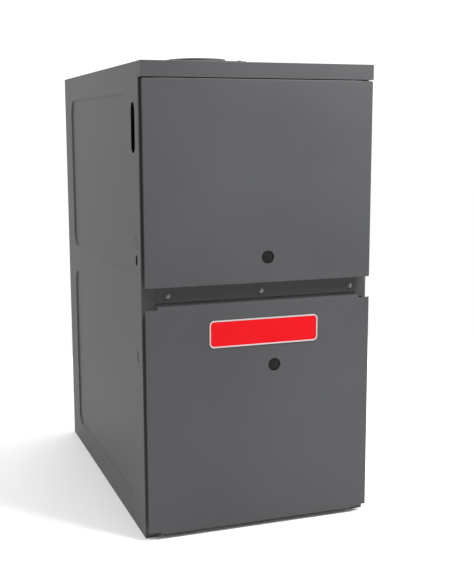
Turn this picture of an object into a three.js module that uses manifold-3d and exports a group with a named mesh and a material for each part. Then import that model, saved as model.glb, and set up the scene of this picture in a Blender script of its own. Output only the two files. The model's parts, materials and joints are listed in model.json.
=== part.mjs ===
// Forced air gas furnace, upflow, as a cabinet of separate sheet steel pieces
// round a gas burner, a serpentine tube heat exchanger and a centrifugal blower.
// Units are millimetres, +Z is up, the front faces -Y and the floor is z = 0.
// The origin is the middle of the footprint.

import * as THREE from 'three';
import { mergeVertices } from 'three/addons/utils/BufferGeometryUtils.js';
import Module from 'manifold-3d';

const wasm = await Module();
wasm.setup();

// ---- Driving dimensions ---------------------------------------------------

// Cabinet.
const cabinetWidth = 450;
const cabinetHeight = 876;
const overallDepth = 730;     // from the face of the door plate to the back
const sheet = 1.2;            // steel of the cabinet, the doors and the blower
const seat = 0.3;             // gap between pieces that touch
const rim = 25;               // flange round the inside of each side panel
const dishDepth = 3.5;        // stiffening fields pressed into the panels
const dishCorner = 30;
const topRailHeight = 28;
const midRailBottom = 430;
const midRailTop = 482;
const railJoggle = 1.5;       // step in the middle rail's face
const deckTop = 462;          // floor of the burner compartment

// Doors and what is on them.
const doorStandOff = 19;      // door faces ahead of the side panels' rims
const doorSideGap = 1.75;
const doorTopGap = 1.5;
const doorHem = 10;           // folded edge outside each door's side flange
const doorLip = 12;           // depth of the doors' top and bottom flanges
const doorCorner = 3;
const upperDoorBottom = 476;
const lowerDoorTop = 441;
const lowerDoorBottom = 11;
const cornerNotch = 4;        // height of the lower door's corner notches
const plugRadius = 12;        // sight plugs
const plateWidth = 217;
const plateHeight = 51.5;
const plateProud = 1.6;
const plateBorder = 3.5;
const plateCentre = [5.5, 384.2];

// Burners and heat exchanger.
const burnerCount = 4;
const tubeMargin = 99;        // from the cabinet's sides to the outer tubes' axes
const tubePitch = (cabinetWidth - 2 * tubeMargin) / (burnerCount - 1);
const tubeRadius = 22;
const tubeWall = 1.5;
const burnerLevel = deckTop + 59;
const outletLevel = cabinetHeight - 139;
const burnerRadius = 19;
const burnerLength = 120;
const rackHeight = 72;
const rackDepth = 34.7;
const manifoldRadius = 13.5;

// Flue gas side.
const collectorDepth = 70;
const inducerX = -30;
const inducerDepth = 45;
const inducerRadius = 58;     // volute radius at its cut-off
const inducerMotorRadius = 36;
const fanShaftRadius = 4;
const flueRadius = 50;
const flueX = -82;

// Air side.
const wheelRadius = 127;
const wheelWidth = 203;
const bladeCount = 32;
const bladeDepth = 20;
const scrollRadius = 139;     // scroll radius at its cut-off
const scrollWidth = 228.4;    // outside the side plates
const scrollCutOff = 110;     // angles at which the spiral starts and ends
const scrollEnd = 360;
const scrollGrowth = 0.001745;   // a rise of one part in ten for each radian
const scrollHeight = 254.5;   // from the shaft to the top of the discharge
const blowerShaftRadius = 6.35;
const blowerMotorRadius = 68;
const blowerMotorLength = 128;

// ---- Places worked out from them ------------------------------------------

const side = cabinetWidth / 2;
const back = overallDepth / 2;
const doorPlane = -back + plateProud;
const rimPlane = doorPlane + doorStandOff;
const innerWall = side - sheet;
const innerWidth = innerWall - seat;                 // pieces between the walls
const linedWidth = side - dishDepth - sheet - seat;  // clear of the dishes too
const behindRim = rimPlane + sheet + seat;
const backInner = back - sheet - seat;               // rear face of the back panel
const doorHalf = side - doorSideGap;
const openHalf = side - rim;
const topSheetTop = cabinetHeight - sheet - seat;
const topSheetBottom = topSheetTop - sheet;
const deckBottom = deckTop - sheet;
const panTop = 2 * sheet + seat;
const vestibuleFront = rimPlane + 194.4;
const vestibuleBack = vestibuleFront + sheet;
const onVestibule = vestibuleFront - seat;
const rackFront = onVestibule - rackDepth;
const rackTop = burnerLevel + rackHeight / 2;
const collectorFront = onVestibule - collectorDepth;
const inducerBack = collectorFront - seat;
const inducerFront = inducerBack - inducerDepth;
const flueY = inducerBack - inducerDepth / 2;
const stubTop = cabinetHeight - 44;
const gasSlotY = doorPlane + 60.5;
const wireSlotY = doorPlane + 49.5;
const firstTubeX = -tubePitch * (burnerCount - 1) / 2;
const blowerFrontReach = 165;
const blowerRearReach = 223;
const trayBack = vestibuleFront - 10;
const blowerY = (trayBack + back + blowerFrontReach - blowerRearReach) / 2;
const blowerZ = deckBottom - seat - scrollHeight;
const harnessX = -side + 27;
const harnessY = rackFront - 50;

// ---- Finishes -------------------------------------------------------------

const look = (color, roughness, metalness) => ({ color, roughness, metalness });
const enamel = look(0x5a5b5e, 0.42, 0.35);
const galvanized = look(0xa9adb0, 0.45, 0.8);
const aluminized = look(0x8f9294, 0.5, 0.75);
const castIron = look(0x4a4a4c, 0.6, 0.5);
const brightSteel = look(0xc4c7ca, 0.3, 0.9);
const blackPlastic = look(0x1c1c1e, 0.5, 0);
const blackPaint = look(0x27282a, 0.45, 0.2);
const redPlastic = look(0xb3202a, 0.4, 0);
const circuitGreen = look(0x1f5a3a, 0.5, 0.05);
const copperBrown = look(0x7a4a2a, 0.5, 0.3);
const ceramic = look(0xd9d4c6, 0.7, 0);
const foil = look(0xb9bcc0, 0.35, 0.7);
const rubber = look(0x2c2c2e, 0.8, 0);

// ---- Solid helpers --------------------------------------------------------

const radians = THREE.MathUtils.degToRad;

// A closed three.js geometry as a solid that can be joined and cut.
function solid(geometry) {
  for (const extra of ['normal', 'uv']) geometry.deleteAttribute(extra);
  const merged = mergeVertices(geometry);
  const vertices = merged.attributes.position.array;
  const corner = (k) => new THREE.Vector3().fromArray(vertices, 3 * k);
  const triangles = [];
  let volume = 0;
  for (let i = 0; i < merged.index.count; i += 3) {
    const [a, b, c] = [0, 1, 2].map((k) => merged.index.getX(i + k));
    if (a === b || b === c || c === a) continue;
    triangles.push([a, b, c]);
    volume += corner(a).dot(corner(b).cross(corner(c)));
  }
  if (volume < 0) triangles.forEach((triangle) => triangle.reverse());
  return new wasm.Manifold(new wasm.Mesh({
    numProp: 3,
    vertProperties: Float32Array.from(vertices),
    triVerts: Uint32Array.from(triangles.flat()),
  }));
}

// The solid back as a geometry for a mesh, with flat faces that joins and cuts
// left in strips made whole again.
const flatness = 0.01;

function geometryOf(manifold) {
  const mesh = manifold.asOriginal().simplify(flatness).getMesh();
  const geometry = new THREE.BufferGeometry();
  geometry.setAttribute('position', new THREE.BufferAttribute(mesh.vertProperties, 3));
  geometry.setIndex(new THREE.BufferAttribute(mesh.triVerts, 1));
  geometry.computeVertexNormals();
  return geometry;
}

const join = (...solids) => solids.reduce((sum, next) => sum.add(next));
const cut = (body, ...tools) => tools.reduce((rest, tool) => rest.subtract(tool), body);

// A box from its low corner to its high corner.
function block(low, high) {
  const size = high.map((value, k) => value - low[k]);
  const geometry = new THREE.BoxGeometry(...size);
  geometry.translate(...high.map((value, k) => (value + low[k]) / 2));
  return solid(geometry);
}

// Turns what was drawn along +Z to another axis: X takes (u, v) to (y, z),
// and Y takes (u, v) to (x, z) and runs from its far end forwards.
const turns = {
  x: new THREE.Matrix4().makeBasis(
    new THREE.Vector3(0, 1, 0), new THREE.Vector3(0, 0, 1), new THREE.Vector3(1, 0, 0)),
  y: new THREE.Matrix4().makeBasis(
    new THREE.Vector3(1, 0, 0), new THREE.Vector3(0, 0, 1), new THREE.Vector3(0, -1, 0)),
  z: new THREE.Matrix4(),
};

// A flat shape pushed along an axis from one coordinate to a higher one.
function prism(shape, axis, from, to, curveSegments = 2) {
  const geometry = new THREE.ExtrudeGeometry(shape, {
    depth: to - from, bevelEnabled: false, curveSegments,
  });
  geometry.applyMatrix4(turns[axis]);
  const shift = { x: [from, 0, 0], y: [0, to, 0], z: [0, 0, from] }[axis];
  geometry.translate(...shift);
  return solid(geometry);
}

// A round bar along an axis through a point of the two other coordinates.
function rod(radius, axis, from, to, [u, v], sides = 16) {
  const geometry = new THREE.CylinderGeometry(radius, radius, to - from, sides);
  const middle = (from + to) / 2;
  if (axis === 'x') geometry.rotateZ(-Math.PI / 2).translate(middle, u, v);
  if (axis === 'y') geometry.translate(u, middle, v);
  if (axis === 'z') geometry.rotateX(Math.PI / 2).translate(u, v, middle);
  return solid(geometry);
}

// A round tube: a bar with a bore through its length.
function ring(outer, inner, axis, from, to, at, sides = 24) {
  return cut(
    rod(outer, axis, from, to, at, sides),
    rod(inner, axis, from - 1, to + 1, at, sides));
}

// A profile of [radius, height] points turned about an axis.
function turned(profile, axis, [u, v], sides = 16) {
  const points = profile.map(([radius, height]) => new THREE.Vector2(radius, height));
  const geometry = new THREE.LatheGeometry(points, sides);
  if (axis === 'x') geometry.rotateZ(-Math.PI / 2).translate(0, u, v);
  if (axis === 'y') geometry.translate(u, 0, v);
  if (axis === 'z') geometry.rotateX(Math.PI / 2).translate(u, v, 0);
  return solid(geometry);
}

// A rectangle with round corners, between its low and high corners.
function roundedRect([left, low], [right, high], radius) {
  const shape = new THREE.Shape();
  shape.moveTo(left + radius, low);
  shape.lineTo(right - radius, low);
  shape.absarc(right - radius, low + radius, radius, -Math.PI / 2, 0);
  shape.lineTo(right, high - radius);
  shape.absarc(right - radius, high - radius, radius, 0, Math.PI / 2);
  shape.lineTo(left + radius, high);
  shape.absarc(left + radius, high - radius, radius, Math.PI / 2, Math.PI);
  shape.lineTo(left, low + radius);
  shape.absarc(left + radius, low + radius, radius, Math.PI, Math.PI * 1.5);
  return shape;
}

// An upright slot with round ends.
function obround([u, v], width, height) {
  const radius = width / 2;
  const reach = height / 2 - radius;
  const shape = new THREE.Shape();
  shape.absarc(u, v + reach, radius, 0, Math.PI);
  shape.absarc(u, v - reach, radius, Math.PI, Math.PI * 2);
  return shape;
}

// A run of straight pipe and round bends, given by its corner points.
// It is sampled at stations: the ends, and a few places round each bend.
class BentPipe extends THREE.Curve {
  constructor(corners, bendRadius, perBend) {
    super();
    this.stations = BentPipe.walk(corners, bendRadius, perBend);
  }

  static walk(corners, bendRadius, perBend) {
    const stations = [];
    const direction = (k) => corners[k + 1].clone().sub(corners[k]).normalize();
    stations.push({ point: corners[0], tangent: direction(0) });
    for (let k = 1; k < corners.length - 1; k += 1) {
      const before = direction(k - 1);
      const after = direction(k);
      const angle = before.angleTo(after);
      const inset = bendRadius * Math.tan(angle / 2);
      const start = corners[k].clone().addScaledVector(before, -inset);
      const normal = after.clone().addScaledVector(before, -after.dot(before)).normalize();
      const centre = start.clone().addScaledVector(normal, bendRadius);
      for (let step = 0; step <= perBend; step += 1) {
        const turn = angle * step / perBend;
        const point = centre.clone()
          .addScaledVector(normal, -bendRadius * Math.cos(turn))
          .addScaledVector(before, bendRadius * Math.sin(turn));
        const tangent = before.clone().multiplyScalar(Math.cos(turn))
          .addScaledVector(normal, Math.sin(turn));
        const previous = stations[stations.length - 1].point;
        if (point.distanceTo(previous) > seat) stations.push({ point, tangent });
      }
    }
    const last = corners.length - 1;
    stations.push({ point: corners[last], tangent: direction(last - 1) });
    return stations;
  }

  station(u) {
    return this.stations[Math.round(u * (this.stations.length - 1))];
  }

  getPointAt(u, target = new THREE.Vector3()) {
    return target.copy(this.station(u).point);
  }

  getTangentAt(u, target = new THREE.Vector3()) {
    return target.copy(this.station(u).tangent);
  }
}

// A round section pushed along a curve in a number of steps.
function tube(curve, steps, radius, sides) {
  const section = new THREE.Shape();
  section.absarc(0, 0, radius, 0, Math.PI * 2);
  return solid(new THREE.ExtrudeGeometry(section, {
    steps, extrudePath: curve, bevelEnabled: false, curveSegments: sides / 2,
  }));
}

function bentTube(corners, bendRadius, perBend, radius, sides) {
  const points = corners.map((corner) => new THREE.Vector3(...corner));
  const pipe = new BentPipe(points, bendRadius, perBend);
  return tube(pipe, pipe.stations.length - 1, radius, sides);
}

// A stiffening field pressed into a sheet: the tool is the hollow in front of
// the pressed sheet and the boss is the same form one sheet thickness behind.
function pressedField(low, high, axis, face, inward) {
  const inset = dishDepth;
  const shape = roundedRect(
    low.map((value) => value + inset), high.map((value) => value - inset), dishCorner);
  const geometry = new THREE.ExtrudeGeometry(shape, {
    depth: 1, bevelEnabled: true, bevelThickness: dishDepth, bevelSize: inset,
    bevelSegments: 1, curveSegments: 2,
  });
  geometry.translate(0, 0, -0.5);
  geometry.applyMatrix4(turns[axis]);
  const along = { x: [1, 0, 0], y: [0, 1, 0], z: [0, 0, 1] }[axis];
  const tool = geometry.clone();
  tool.translate(...along.map((value) => value * (face - inward * 0.5)));
  const boss = geometry.clone();
  boss.translate(...along.map((value) => value * (face - inward * 0.5 + inward * sheet)));
  return { tool: solid(tool), boss: solid(boss) };
}

// Presses fields into a panel; space is the region the boss may fill.
function press(panel, fields, space) {
  let result = panel;
  for (const { tool, boss } of fields) {
    result = cut(join(result, boss.intersect(space)), tool);
  }
  return result;
}

const furnace = new THREE.Group();

// Puts a solid into a group as a named piece with its own finish.
function part(name, shape, finish, group = furnace) {
  const material = new THREE.MeshStandardMaterial({ ...finish, flatShading: true });
  const mesh = new THREE.Mesh(geometryOf(shape), material);
  mesh.name = name;
  group.add(mesh);
  return mesh;
}

function assembly(x, y, z) {
  const group = new THREE.Group();
  group.position.set(x, y, z);
  furnace.add(group);
  return group;
}

// ---- Cabinet --------------------------------------------------------------

// Left side: a tray with a flange on all four edges, two pressed fields, the
// gas pipe slot, the wire slot and two closed knock-outs.
function sidePanel() {
  const tray = cut(
    block([-side, rimPlane, 0], [-openHalf, back, cabinetHeight]),
    block([-innerWall, rimPlane + sheet, sheet],
      [-openHalf + 1, back - sheet, cabinetHeight - sheet]));
  const front = doorPlane + 95;
  const rear = back - 75;
  const fields = [[45, midRailBottom], [midRailTop + 2, cabinetHeight - 51]].map(
    ([low, high]) => pressedField([front, low], [rear, high], 'x', -side, 1));
  const inside = block([-side, rimPlane, 0], [-openHalf, back, cabinetHeight]);
  const outer = -side - 1;
  const through = -innerWall + 1;
  const gasSlot = obround([gasSlotY, cabinetHeight - 115.5], 28, 91);
  const wireSlot = obround([wireSlotY, burnerLevel + 1], 12, 20);
  const controlSlot = obround([wireSlotY, 343], 10, 21);
  const scored = 0.5;
  return cut(
    press(tray, fields, inside),
    prism(gasSlot, 'x', outer, through),
    prism(wireSlot, 'x', outer, through),
    prism(controlSlot, 'x', outer, -side + scored),
    ring(11.5, 10.5, 'x', outer, -side + scored, [wireSlotY + 5.5, burnerLevel + 34], 12));
}

// Back: a plain sheet between the side panels' rear flanges with two fields.
function backPanel() {
  const low = panTop + seat;
  const high = topSheetBottom - seat;
  const panel = block([-innerWidth, backInner - sheet, low], [innerWidth, backInner, high]);
  const reach = openHalf - 15;
  const fields = [[45, midRailBottom], [midRailTop + 2, cabinetHeight - 51]].map(
    ([bottom, top]) => pressedField([-reach, bottom], [reach, top], 'y', backInner, -1));
  const inside = block([-innerWidth, 0, low], [innerWidth, backInner, high]);
  return press(panel, fields, inside);
}

// Bottom: a closed pan on the side panels' lower flanges, with the outline of
// the return air knock-out pressed into it.
function bottomPan() {
  const low = sheet + seat;
  const panel = block([-innerWidth, behindRim, low], [innerWidth, backInner, low + sheet]);
  const field = pressedField([-openHalf + 25, rimPlane + 70], [openHalf - 25, back - 60],
    'z', low, 1);
  const inside = block([-innerWidth, behindRim, low], [innerWidth, backInner, 20]);
  return press(panel, [field], inside);
}

// Supply air outlet in the top panel.
const supply = {
  half: side - 37,
  front: vestibuleFront + 15,
  rear: back - 30,
};

// Top: a sheet under the side panels' upper flanges. The supply opening has a
// turned-down rim for the plenum and the flue passes a round hole.
function topPanel() {
  const { half, front, rear } = supply;
  const lip = 12;
  const panel = block([-innerWidth, behindRim, topSheetBottom],
    [innerWidth, backInner, topSheetTop]);
  const flange = block([-openHalf + seat, behindRim, cabinetHeight - topRailHeight],
    [openHalf - seat, behindRim + sheet, topSheetTop]);
  const collar = block([-half - sheet, front - sheet, topSheetTop - lip],
    [half + sheet, rear + sheet, topSheetTop]);
  const opening = block([-half, front, 0], [half, rear, cabinetHeight]);
  const flueHole = rod(flueRadius + 2, 'z', 0, cabinetHeight, [flueX, flueY], 24);
  return cut(join(panel, flange, collar), opening, flueHole);
}

// Top front rail: a shallow box, open behind, in line with the door faces.
function topFrontRail() {
  const low = cabinetHeight - topRailHeight;
  const rear = rimPlane - seat;
  return cut(
    block([-side, doorPlane, low], [side, rear, cabinetHeight]),
    block([-innerWall, doorPlane + sheet, low + sheet],
      [innerWall, rear + 1, cabinetHeight - sheet]));
}

// Vent collar: a low cover plate on the top panel with a ring for the flue.
function ventCollar() {
  const low = topSheetTop + seat;
  const high = low + 6.7;
  const outline = (inset) => roundedRect(
    [flueX - 77 + inset, flueY - 60 + inset], [flueX + 77 - inset, flueY + 60 - inset], 8);
  const cover = cut(
    prism(outline(0), 'z', low, high, 3),
    prism(outline(sheet), 'z', low - 1, high - sheet, 3));
  const inner = flueRadius + seat;
  const neck = rod(inner + sheet, 'z', high - sheet, cabinetHeight + 10, [flueX, flueY], 24);
  return cut(join(cover, neck), rod(inner, 'z', 0, cabinetHeight + 20, [flueX, flueY], 24));
}

// Middle rail: a channel between the side panels' rims, with a step in its
// face; three screws hold the blower deck to it.
const railScrew = { z: deckTop - 4, radius: 2, xs: [24 - openHalf, 6, openHalf - 10] };

function midRail() {
  const half = openHalf - seat;
  const depth = 25;
  const step = midRailTop - 36;
  const profile = new THREE.Shape();
  const face = rimPlane;
  profile.moveTo(face, midRailTop);
  profile.lineTo(face, step - sheet);
  profile.lineTo(face + railJoggle, step - sheet);
  profile.lineTo(face + railJoggle, midRailBottom);
  profile.lineTo(face + depth, midRailBottom);
  profile.lineTo(face + depth, midRailBottom + sheet);
  profile.lineTo(face + railJoggle + sheet, midRailBottom + sheet);
  profile.lineTo(face + railJoggle + sheet, step);
  profile.lineTo(face + sheet, step);
  profile.lineTo(face + sheet, midRailTop - sheet);
  profile.lineTo(face + depth, midRailTop - sheet);
  profile.lineTo(face + depth, midRailTop);
  profile.closePath();
  return cut(prism(profile, 'x', -half, half), ...screwHoles());
}

function screwHoles() {
  return railScrew.xs.map((x) => rod(railScrew.radius + seat, 'y',
    rimPlane - 1, behindRim + 2 * sheet, [x, railScrew.z], 12));
}

// A hexagon washer head screw through the rail into the deck's flange.
function screw(x) {
  const face = rimPlane - seat;
  const washer = { radius: 5, front: face - 1 };
  const head = { radius: 3.6, front: face - 4.5 };
  return join(
    rod(railScrew.radius, 'y', washer.front, rimPlane + 9, [x, railScrew.z], 6),
    rod(washer.radius, 'y', washer.front, face, [x, railScrew.z], 12),
    rod(head.radius, 'y', head.front, washer.front, [x, railScrew.z], 6));
}

// Bottom front rail: a channel standing on the pan between the rims.
function bottomFrontRail() {
  const half = openHalf - seat;
  const low = panTop + seat;
  const high = low + 27;
  return cut(
    block([-half, rimPlane, low], [half, rimPlane + rim, high]),
    block([-half - 1, rimPlane + sheet, low + sheet], [half + 1, rimPlane + rim + 1, high - sheet]));
}

for (const name of ['left_side_panel', 'right_side_panel']) {
  const mesh = part(name, sidePanel(), enamel);
  if (name.startsWith('right')) mesh.scale.x = -1;
}
part('back_panel', backPanel(), enamel);
part('bottom_pan', bottomPan(), galvanized);
part('top_panel', topPanel(), enamel);
part('top_front_rail', topFrontRail(), enamel);
part('vent_collar', ventCollar(), enamel);
part('mid_rail', midRail(), enamel);
railScrew.xs.forEach((x, k) => part(`mid_rail_screw_${k + 1}`, screw(x), brightSteel));
part('bottom_front_rail', bottomFrontRail(), enamel);

// ---- Doors ----------------------------------------------------------------

const rearOfDoor = rimPlane - seat;
const upperPlug = { x: 12.7, z: burnerLevel + 2.5 };
const lowerPlug = { x: 26.2, z: 318.5 };
const doorLatchNotch = { half: 2.5, depth: 3 };

// The door's fold: a hem behind each side edge, a full-depth flange inside
// the hem, and a shallow flange along the top and the bottom.
function doorFolds(low, high, neck) {
  const flangeX = doorHalf - doorHem;
  const folds = [];
  for (const mirror of [-1, 1]) {
    const between = (a, b) => [Math.min(a * mirror, b * mirror), Math.max(a * mirror, b * mirror)];
    const hem = between(flangeX - sheet, doorHalf);
    folds.push(block([hem[0], doorPlane, low + neck], [hem[1], doorPlane + 2 * sheet, high - neck]));
    const flange = between(flangeX - sheet, flangeX);
    folds.push(block([flange[0], doorPlane, low + neck], [flange[1], rearOfDoor, high - neck]));
  }
  const half = openHalf;
  folds.push(block([-half, doorPlane, low], [half, doorPlane + doorLip, low + sheet]));
  folds.push(block([-half, doorPlane, high - sheet], [half, doorPlane + doorLip, high]));
  return folds;
}

function upperDoor() {
  const low = upperDoorBottom;
  const high = cabinetHeight - topRailHeight - doorTopGap;
  const outline = roundedRect([-doorHalf, low], [doorHalf, high], doorCorner);
  const face = prism(outline, 'y', doorPlane, doorPlane + sheet, 3);
  return cut(join(face, ...doorFolds(low, high, doorCorner)), plugHole(upperPlug));
}

function lowerDoor() {
  const low = lowerDoorBottom;
  const high = lowerDoorTop;
  const outline = new THREE.Shape([
    [openHalf, low], [openHalf, low + cornerNotch], [doorHalf, low + cornerNotch],
    [doorHalf, high - cornerNotch], [openHalf, high - cornerNotch], [openHalf, high],
    [-openHalf, high], [-openHalf, high - cornerNotch], [-doorHalf, high - cornerNotch],
    [-doorHalf, low + cornerNotch], [-openHalf, low + cornerNotch], [-openHalf, low],
  ].map(([x, z]) => new THREE.Vector2(x, z)));
  const face = prism(outline, 'y', doorPlane, doorPlane + sheet);
  const { half, depth } = doorLatchNotch;
  const notch = block([-half, doorPlane + 4, high - sheet - 1],
    [half, doorPlane + 4 + depth, high + 1]);
  return cut(join(face, ...doorFolds(low, high, cornerNotch)), plugHole(lowerPlug), notch);
}

function plugHole({ x, z }) {
  return rod(plugRadius + seat, 'y', doorPlane - 1, doorPlane + 2 * sheet, [x, z], 16);
}

// Sight plug: a disc flush with the door and held by a flange behind it.
function sightPlug({ x, z }) {
  const behind = doorPlane + sheet + seat;
  return join(
    rod(plugRadius, 'y', doorPlane, behind + 4, [x, z], 16),
    rod(plugRadius + 3, 'y', behind, behind + 1.5, [x, z], 16));
}

// Plate: a blank panel with round corners and a raised border on the door.
function doorPlate() {
  const [x, z] = plateCentre;
  const corner = 9;
  const outline = (inset) => roundedRect(
    [x - plateWidth / 2 + inset, z - plateHeight / 2 + inset],
    [x + plateWidth / 2 - inset, z + plateHeight / 2 - inset], corner - inset);
  const front = doorPlane - plateProud;
  return cut(
    prism(outline(0), 'y', front, doorPlane - seat),
    prism(outline(plateBorder), 'y', front - 1, front + 0.5));
}

part('upper_door', upperDoor(), enamel);
part('upper_sight_plug', sightPlug(upperPlug), blackPlastic);
part('lower_door', lowerDoor(), enamel);
part('lower_sight_plug', sightPlug(lowerPlug), blackPlastic);
part('door_plate', doorPlate(), redPlastic);

// ---- Inner walls ----------------------------------------------------------

const discharge = {
  half: scrollWidth / 2 - sheet - seat - sheet,
  cutOffY: scrollRadius * Math.cos(radians(scrollCutOff)),
  reach: scrollRadius * Math.exp(scrollGrowth * (scrollEnd - scrollCutOff)),
};

// Blower deck: the floor of the burner and heat exchanger compartments, with
// the discharge opening, a hole for the wire harness and a front flange.
function blowerDeck() {
  const deck = block([-innerWidth, behindRim, deckBottom],
    [innerWidth, backInner - sheet - seat, deckTop]);
  const flange = block([-openHalf + seat, behindRim, midRailTop - 35.5],
    [openHalf - seat, behindRim + sheet, deckTop]);
  const { half, cutOffY, reach } = discharge;
  const opening = block([-half, blowerY + cutOffY + sheet, 0],
    [half, blowerY + reach - sheet, cabinetHeight]);
  const harnessHole = rod(12, 'z', 0, cabinetHeight, [harnessX, harnessY], 20);
  return cut(join(deck, flange), opening, harnessHole, ...screwHoles());
}

// Vestibule panel: the wall between the burners and the heat exchanger.
function vestibulePanel() {
  const panel = block([-linedWidth, vestibuleFront, deckTop + seat],
    [linedWidth, vestibuleBack, topSheetBottom - seat]);
  const holes = [];
  for (let k = 0; k < burnerCount; k += 1) {
    for (const z of [burnerLevel, outletLevel]) {
      holes.push(rod(tubeRadius + seat, 'y', vestibuleFront - 1, vestibuleBack + 1,
        [firstTubeX + k * tubePitch, z], 12));
    }
  }
  return cut(panel, ...holes);
}

// Insulation liner: a foil-faced blanket round three walls of the heat
// exchanger compartment.
function insulationLiner() {
  const thickness = 10;
  const front = vestibuleBack + seat;
  const rear = backInner - sheet - dishDepth - seat;
  const low = deckTop + seat;
  const high = topSheetBottom - seat;
  return cut(
    block([-linedWidth, front, low], [linedWidth, rear, high]),
    block([-linedWidth + thickness, front - 1, low - 1],
      [linedWidth - thickness, rear - thickness, high + 1]));
}

part('blower_deck', blowerDeck(), galvanized);
part('vestibule_panel', vestibulePanel(), aluminized);
part('insulation_liner', insulationLiner(), foil);

// ---- Heat exchanger -------------------------------------------------------

// One tube: four passes one above the other, joined by three return bends,
// open at both ends where it passes the vestibule panel.
function heatTube(x) {
  const pitch = (outletLevel - burnerLevel) / 3;
  const bend = pitch / 2;
  const frontEnd = vestibuleFront + 70 - bend;
  const rearEnd = back - 115 + bend;
  const mouth = vestibuleFront;
  const level = (k) => burnerLevel + k * pitch;
  const route = [
    [x, mouth, level(0)], [x, rearEnd, level(0)], [x, rearEnd, level(1)],
    [x, frontEnd, level(1)], [x, frontEnd, level(2)], [x, rearEnd, level(2)],
    [x, rearEnd, level(3)], [x, mouth, level(3)],
  ];
  const bore = tubeRadius - tubeWall;
  const bores = [burnerLevel, outletLevel].map(
    (z) => rod(bore, 'y', mouth - 1, mouth + 40, [x, z], 12));
  return cut(bentTube(route, bend, 3, tubeRadius, 12), ...bores);
}

for (let k = 0; k < burnerCount; k += 1) {
  part(`heat_tube_${k + 1}`, heatTube(firstTubeX + k * tubePitch), aluminized);
}

// ---- Burners and gas train ------------------------------------------------

const lastTubeX = -firstTubeX;
const sensorX = lastTubeX + burnerRadius + 8;
const burnerOutlet = rackFront + 17;
const burnerInlet = burnerOutlet - burnerLength;

// Burner rack: a box open behind, with a round seat for each burner.
function burnerRack() {
  const half = lastTubeX + 49;
  const low = burnerLevel - rackHeight / 2;
  const shell = cut(
    block([-half, rackFront, low], [half, onVestibule, rackTop]),
    block([-half + sheet, rackFront + sheet, low + sheet],
      [half - sheet, onVestibule + 1, rackTop - sheet]));
  const seats = [];
  for (let k = 0; k < burnerCount; k += 1) {
    seats.push(rod(burnerRadius + seat, 'y', rackFront - 1, rackFront + sheet + 1,
      [firstTubeX + k * tubePitch, burnerLevel], 12));
  }
  const rods = [-1, 1].map((end) => rod(3 + seat, 'y', rackFront - 1, rackFront + sheet + 1,
    [end * sensorX, burnerLevel], 10));
  return cut(shell, ...seats, ...rods);
}

// Inshot burner: a venturi tube, a bell at the gas inlet and a wide outlet.
function burner(x) {
  const wall = 1.2;
  const stations = [[0, 19], [18, 12], [46, 10], [84, burnerRadius], [120, burnerRadius]];
  const along = (value) => burnerInlet + value * burnerLength / 120;
  const outside = stations.map(([y, radius]) => [radius, along(y)]);
  const inside = stations.map(([y, radius]) => [radius - wall, along(y)]).reverse();
  return turned([...outside, ...inside, outside[0]], 'y', [x, burnerLevel], 12);
}

// Gas manifold: a capped pipe with one orifice spud for each burner,
// a riser to the gas valve and two tabs fastened to the burner rack.
const manifoldY = burnerInlet - manifoldRadius - 3;
const riserX = firstTubeX - 24;
const valveBottom = burnerLevel + 69;

function gasManifold() {
  const level = burnerLevel;
  const pipe = rod(manifoldRadius, 'x', riserX - manifoldRadius, lastTubeX + 24,
    [manifoldY, level], 12);
  const riser = rod(manifoldRadius, 'z', level, valveBottom, [riserX, manifoldY], 12);
  const spuds = [];
  for (let k = 0; k < burnerCount; k += 1) {
    spuds.push(turned([
      [0, manifoldY], [6.5, manifoldY], [6.5, burnerInlet - 0.4], [3, burnerInlet + 6],
      [0, burnerInlet + 6],
    ], 'y', [firstTubeX + k * tubePitch, level], 6));
  }
  const tabs = [-1, 1].map((end) => {
    const x = end * tubePitch;
    return join(
      block([x - 1, manifoldY, level + 4], [x + 1, rackFront - seat, level + 24]),
      block([x - 10, rackFront - seat - 2, level + 4], [x + 10, rackFront - seat, level + 24]));
  });
  return join(pipe, riser, ...spuds, ...tabs);
}

// Gas valve: a cast body with a regulator tower, inlet boss and outlet boss.
const valveFront = rimPlane + 9.1;
const valve = { low: valveBottom + seat, height: 75, left: riserX - 45, right: riserX + 45 };

function gasValve() {
  const { low, height, left, right } = valve;
  const middle = low + height / 2;
  const body = block([left + 6, manifoldY - 22, low + 8], [right - 6, manifoldY + 28, low + height - 8]);
  const cheeks = rod(26, 'y', manifoldY - 26, manifoldY + 30, [riserX, middle], 16);
  const face = prism(roundedRect([left, low + 12], [right, low + height - 12], 8),
    'y', valveFront + seat, manifoldY - 20, 3);
  const outlet = rod(19, 'z', low, low + 10, [riserX, manifoldY], 8);
  const inlet = cut(
    rod(20, 'z', low + height - 10, low + height + 25, [riserX, manifoldY], 6),
    rod(11, 'z', low + height + 5, low + height + 26, [riserX, manifoldY], 16));
  const tower = rod(9, 'z', low + height - 14, low + height + 6, [right - 16, manifoldY - 10], 12);
  return join(body, cheeks, face, outlet, inlet, tower);
}

// Knob: a ribbed dial with a pointer, turned from off to on.
const knobAt = { x: riserX + 20, z: valve.low + valve.height / 2 + 6 };

function valveKnob() {
  const front = rimPlane + 1.6;
  const dial = rod(14, 'y', front + 2, valveFront, [0, 0], 24);
  const grip = prism(roundedRect([-3.2, -13], [3.2, 13], 3), 'y', front, front + 3, 2);
  const ribs = [];
  for (let k = 0; k < 8; k += 1) {
    const angle = radians(45 * k + 22.5);
    ribs.push(rod(1.6, 'y', front + 2, valveFront, [14.4 * Math.cos(angle), 14.4 * Math.sin(angle)], 4));
  }
  return cut(join(dial, grip), ...ribs);
}

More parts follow.
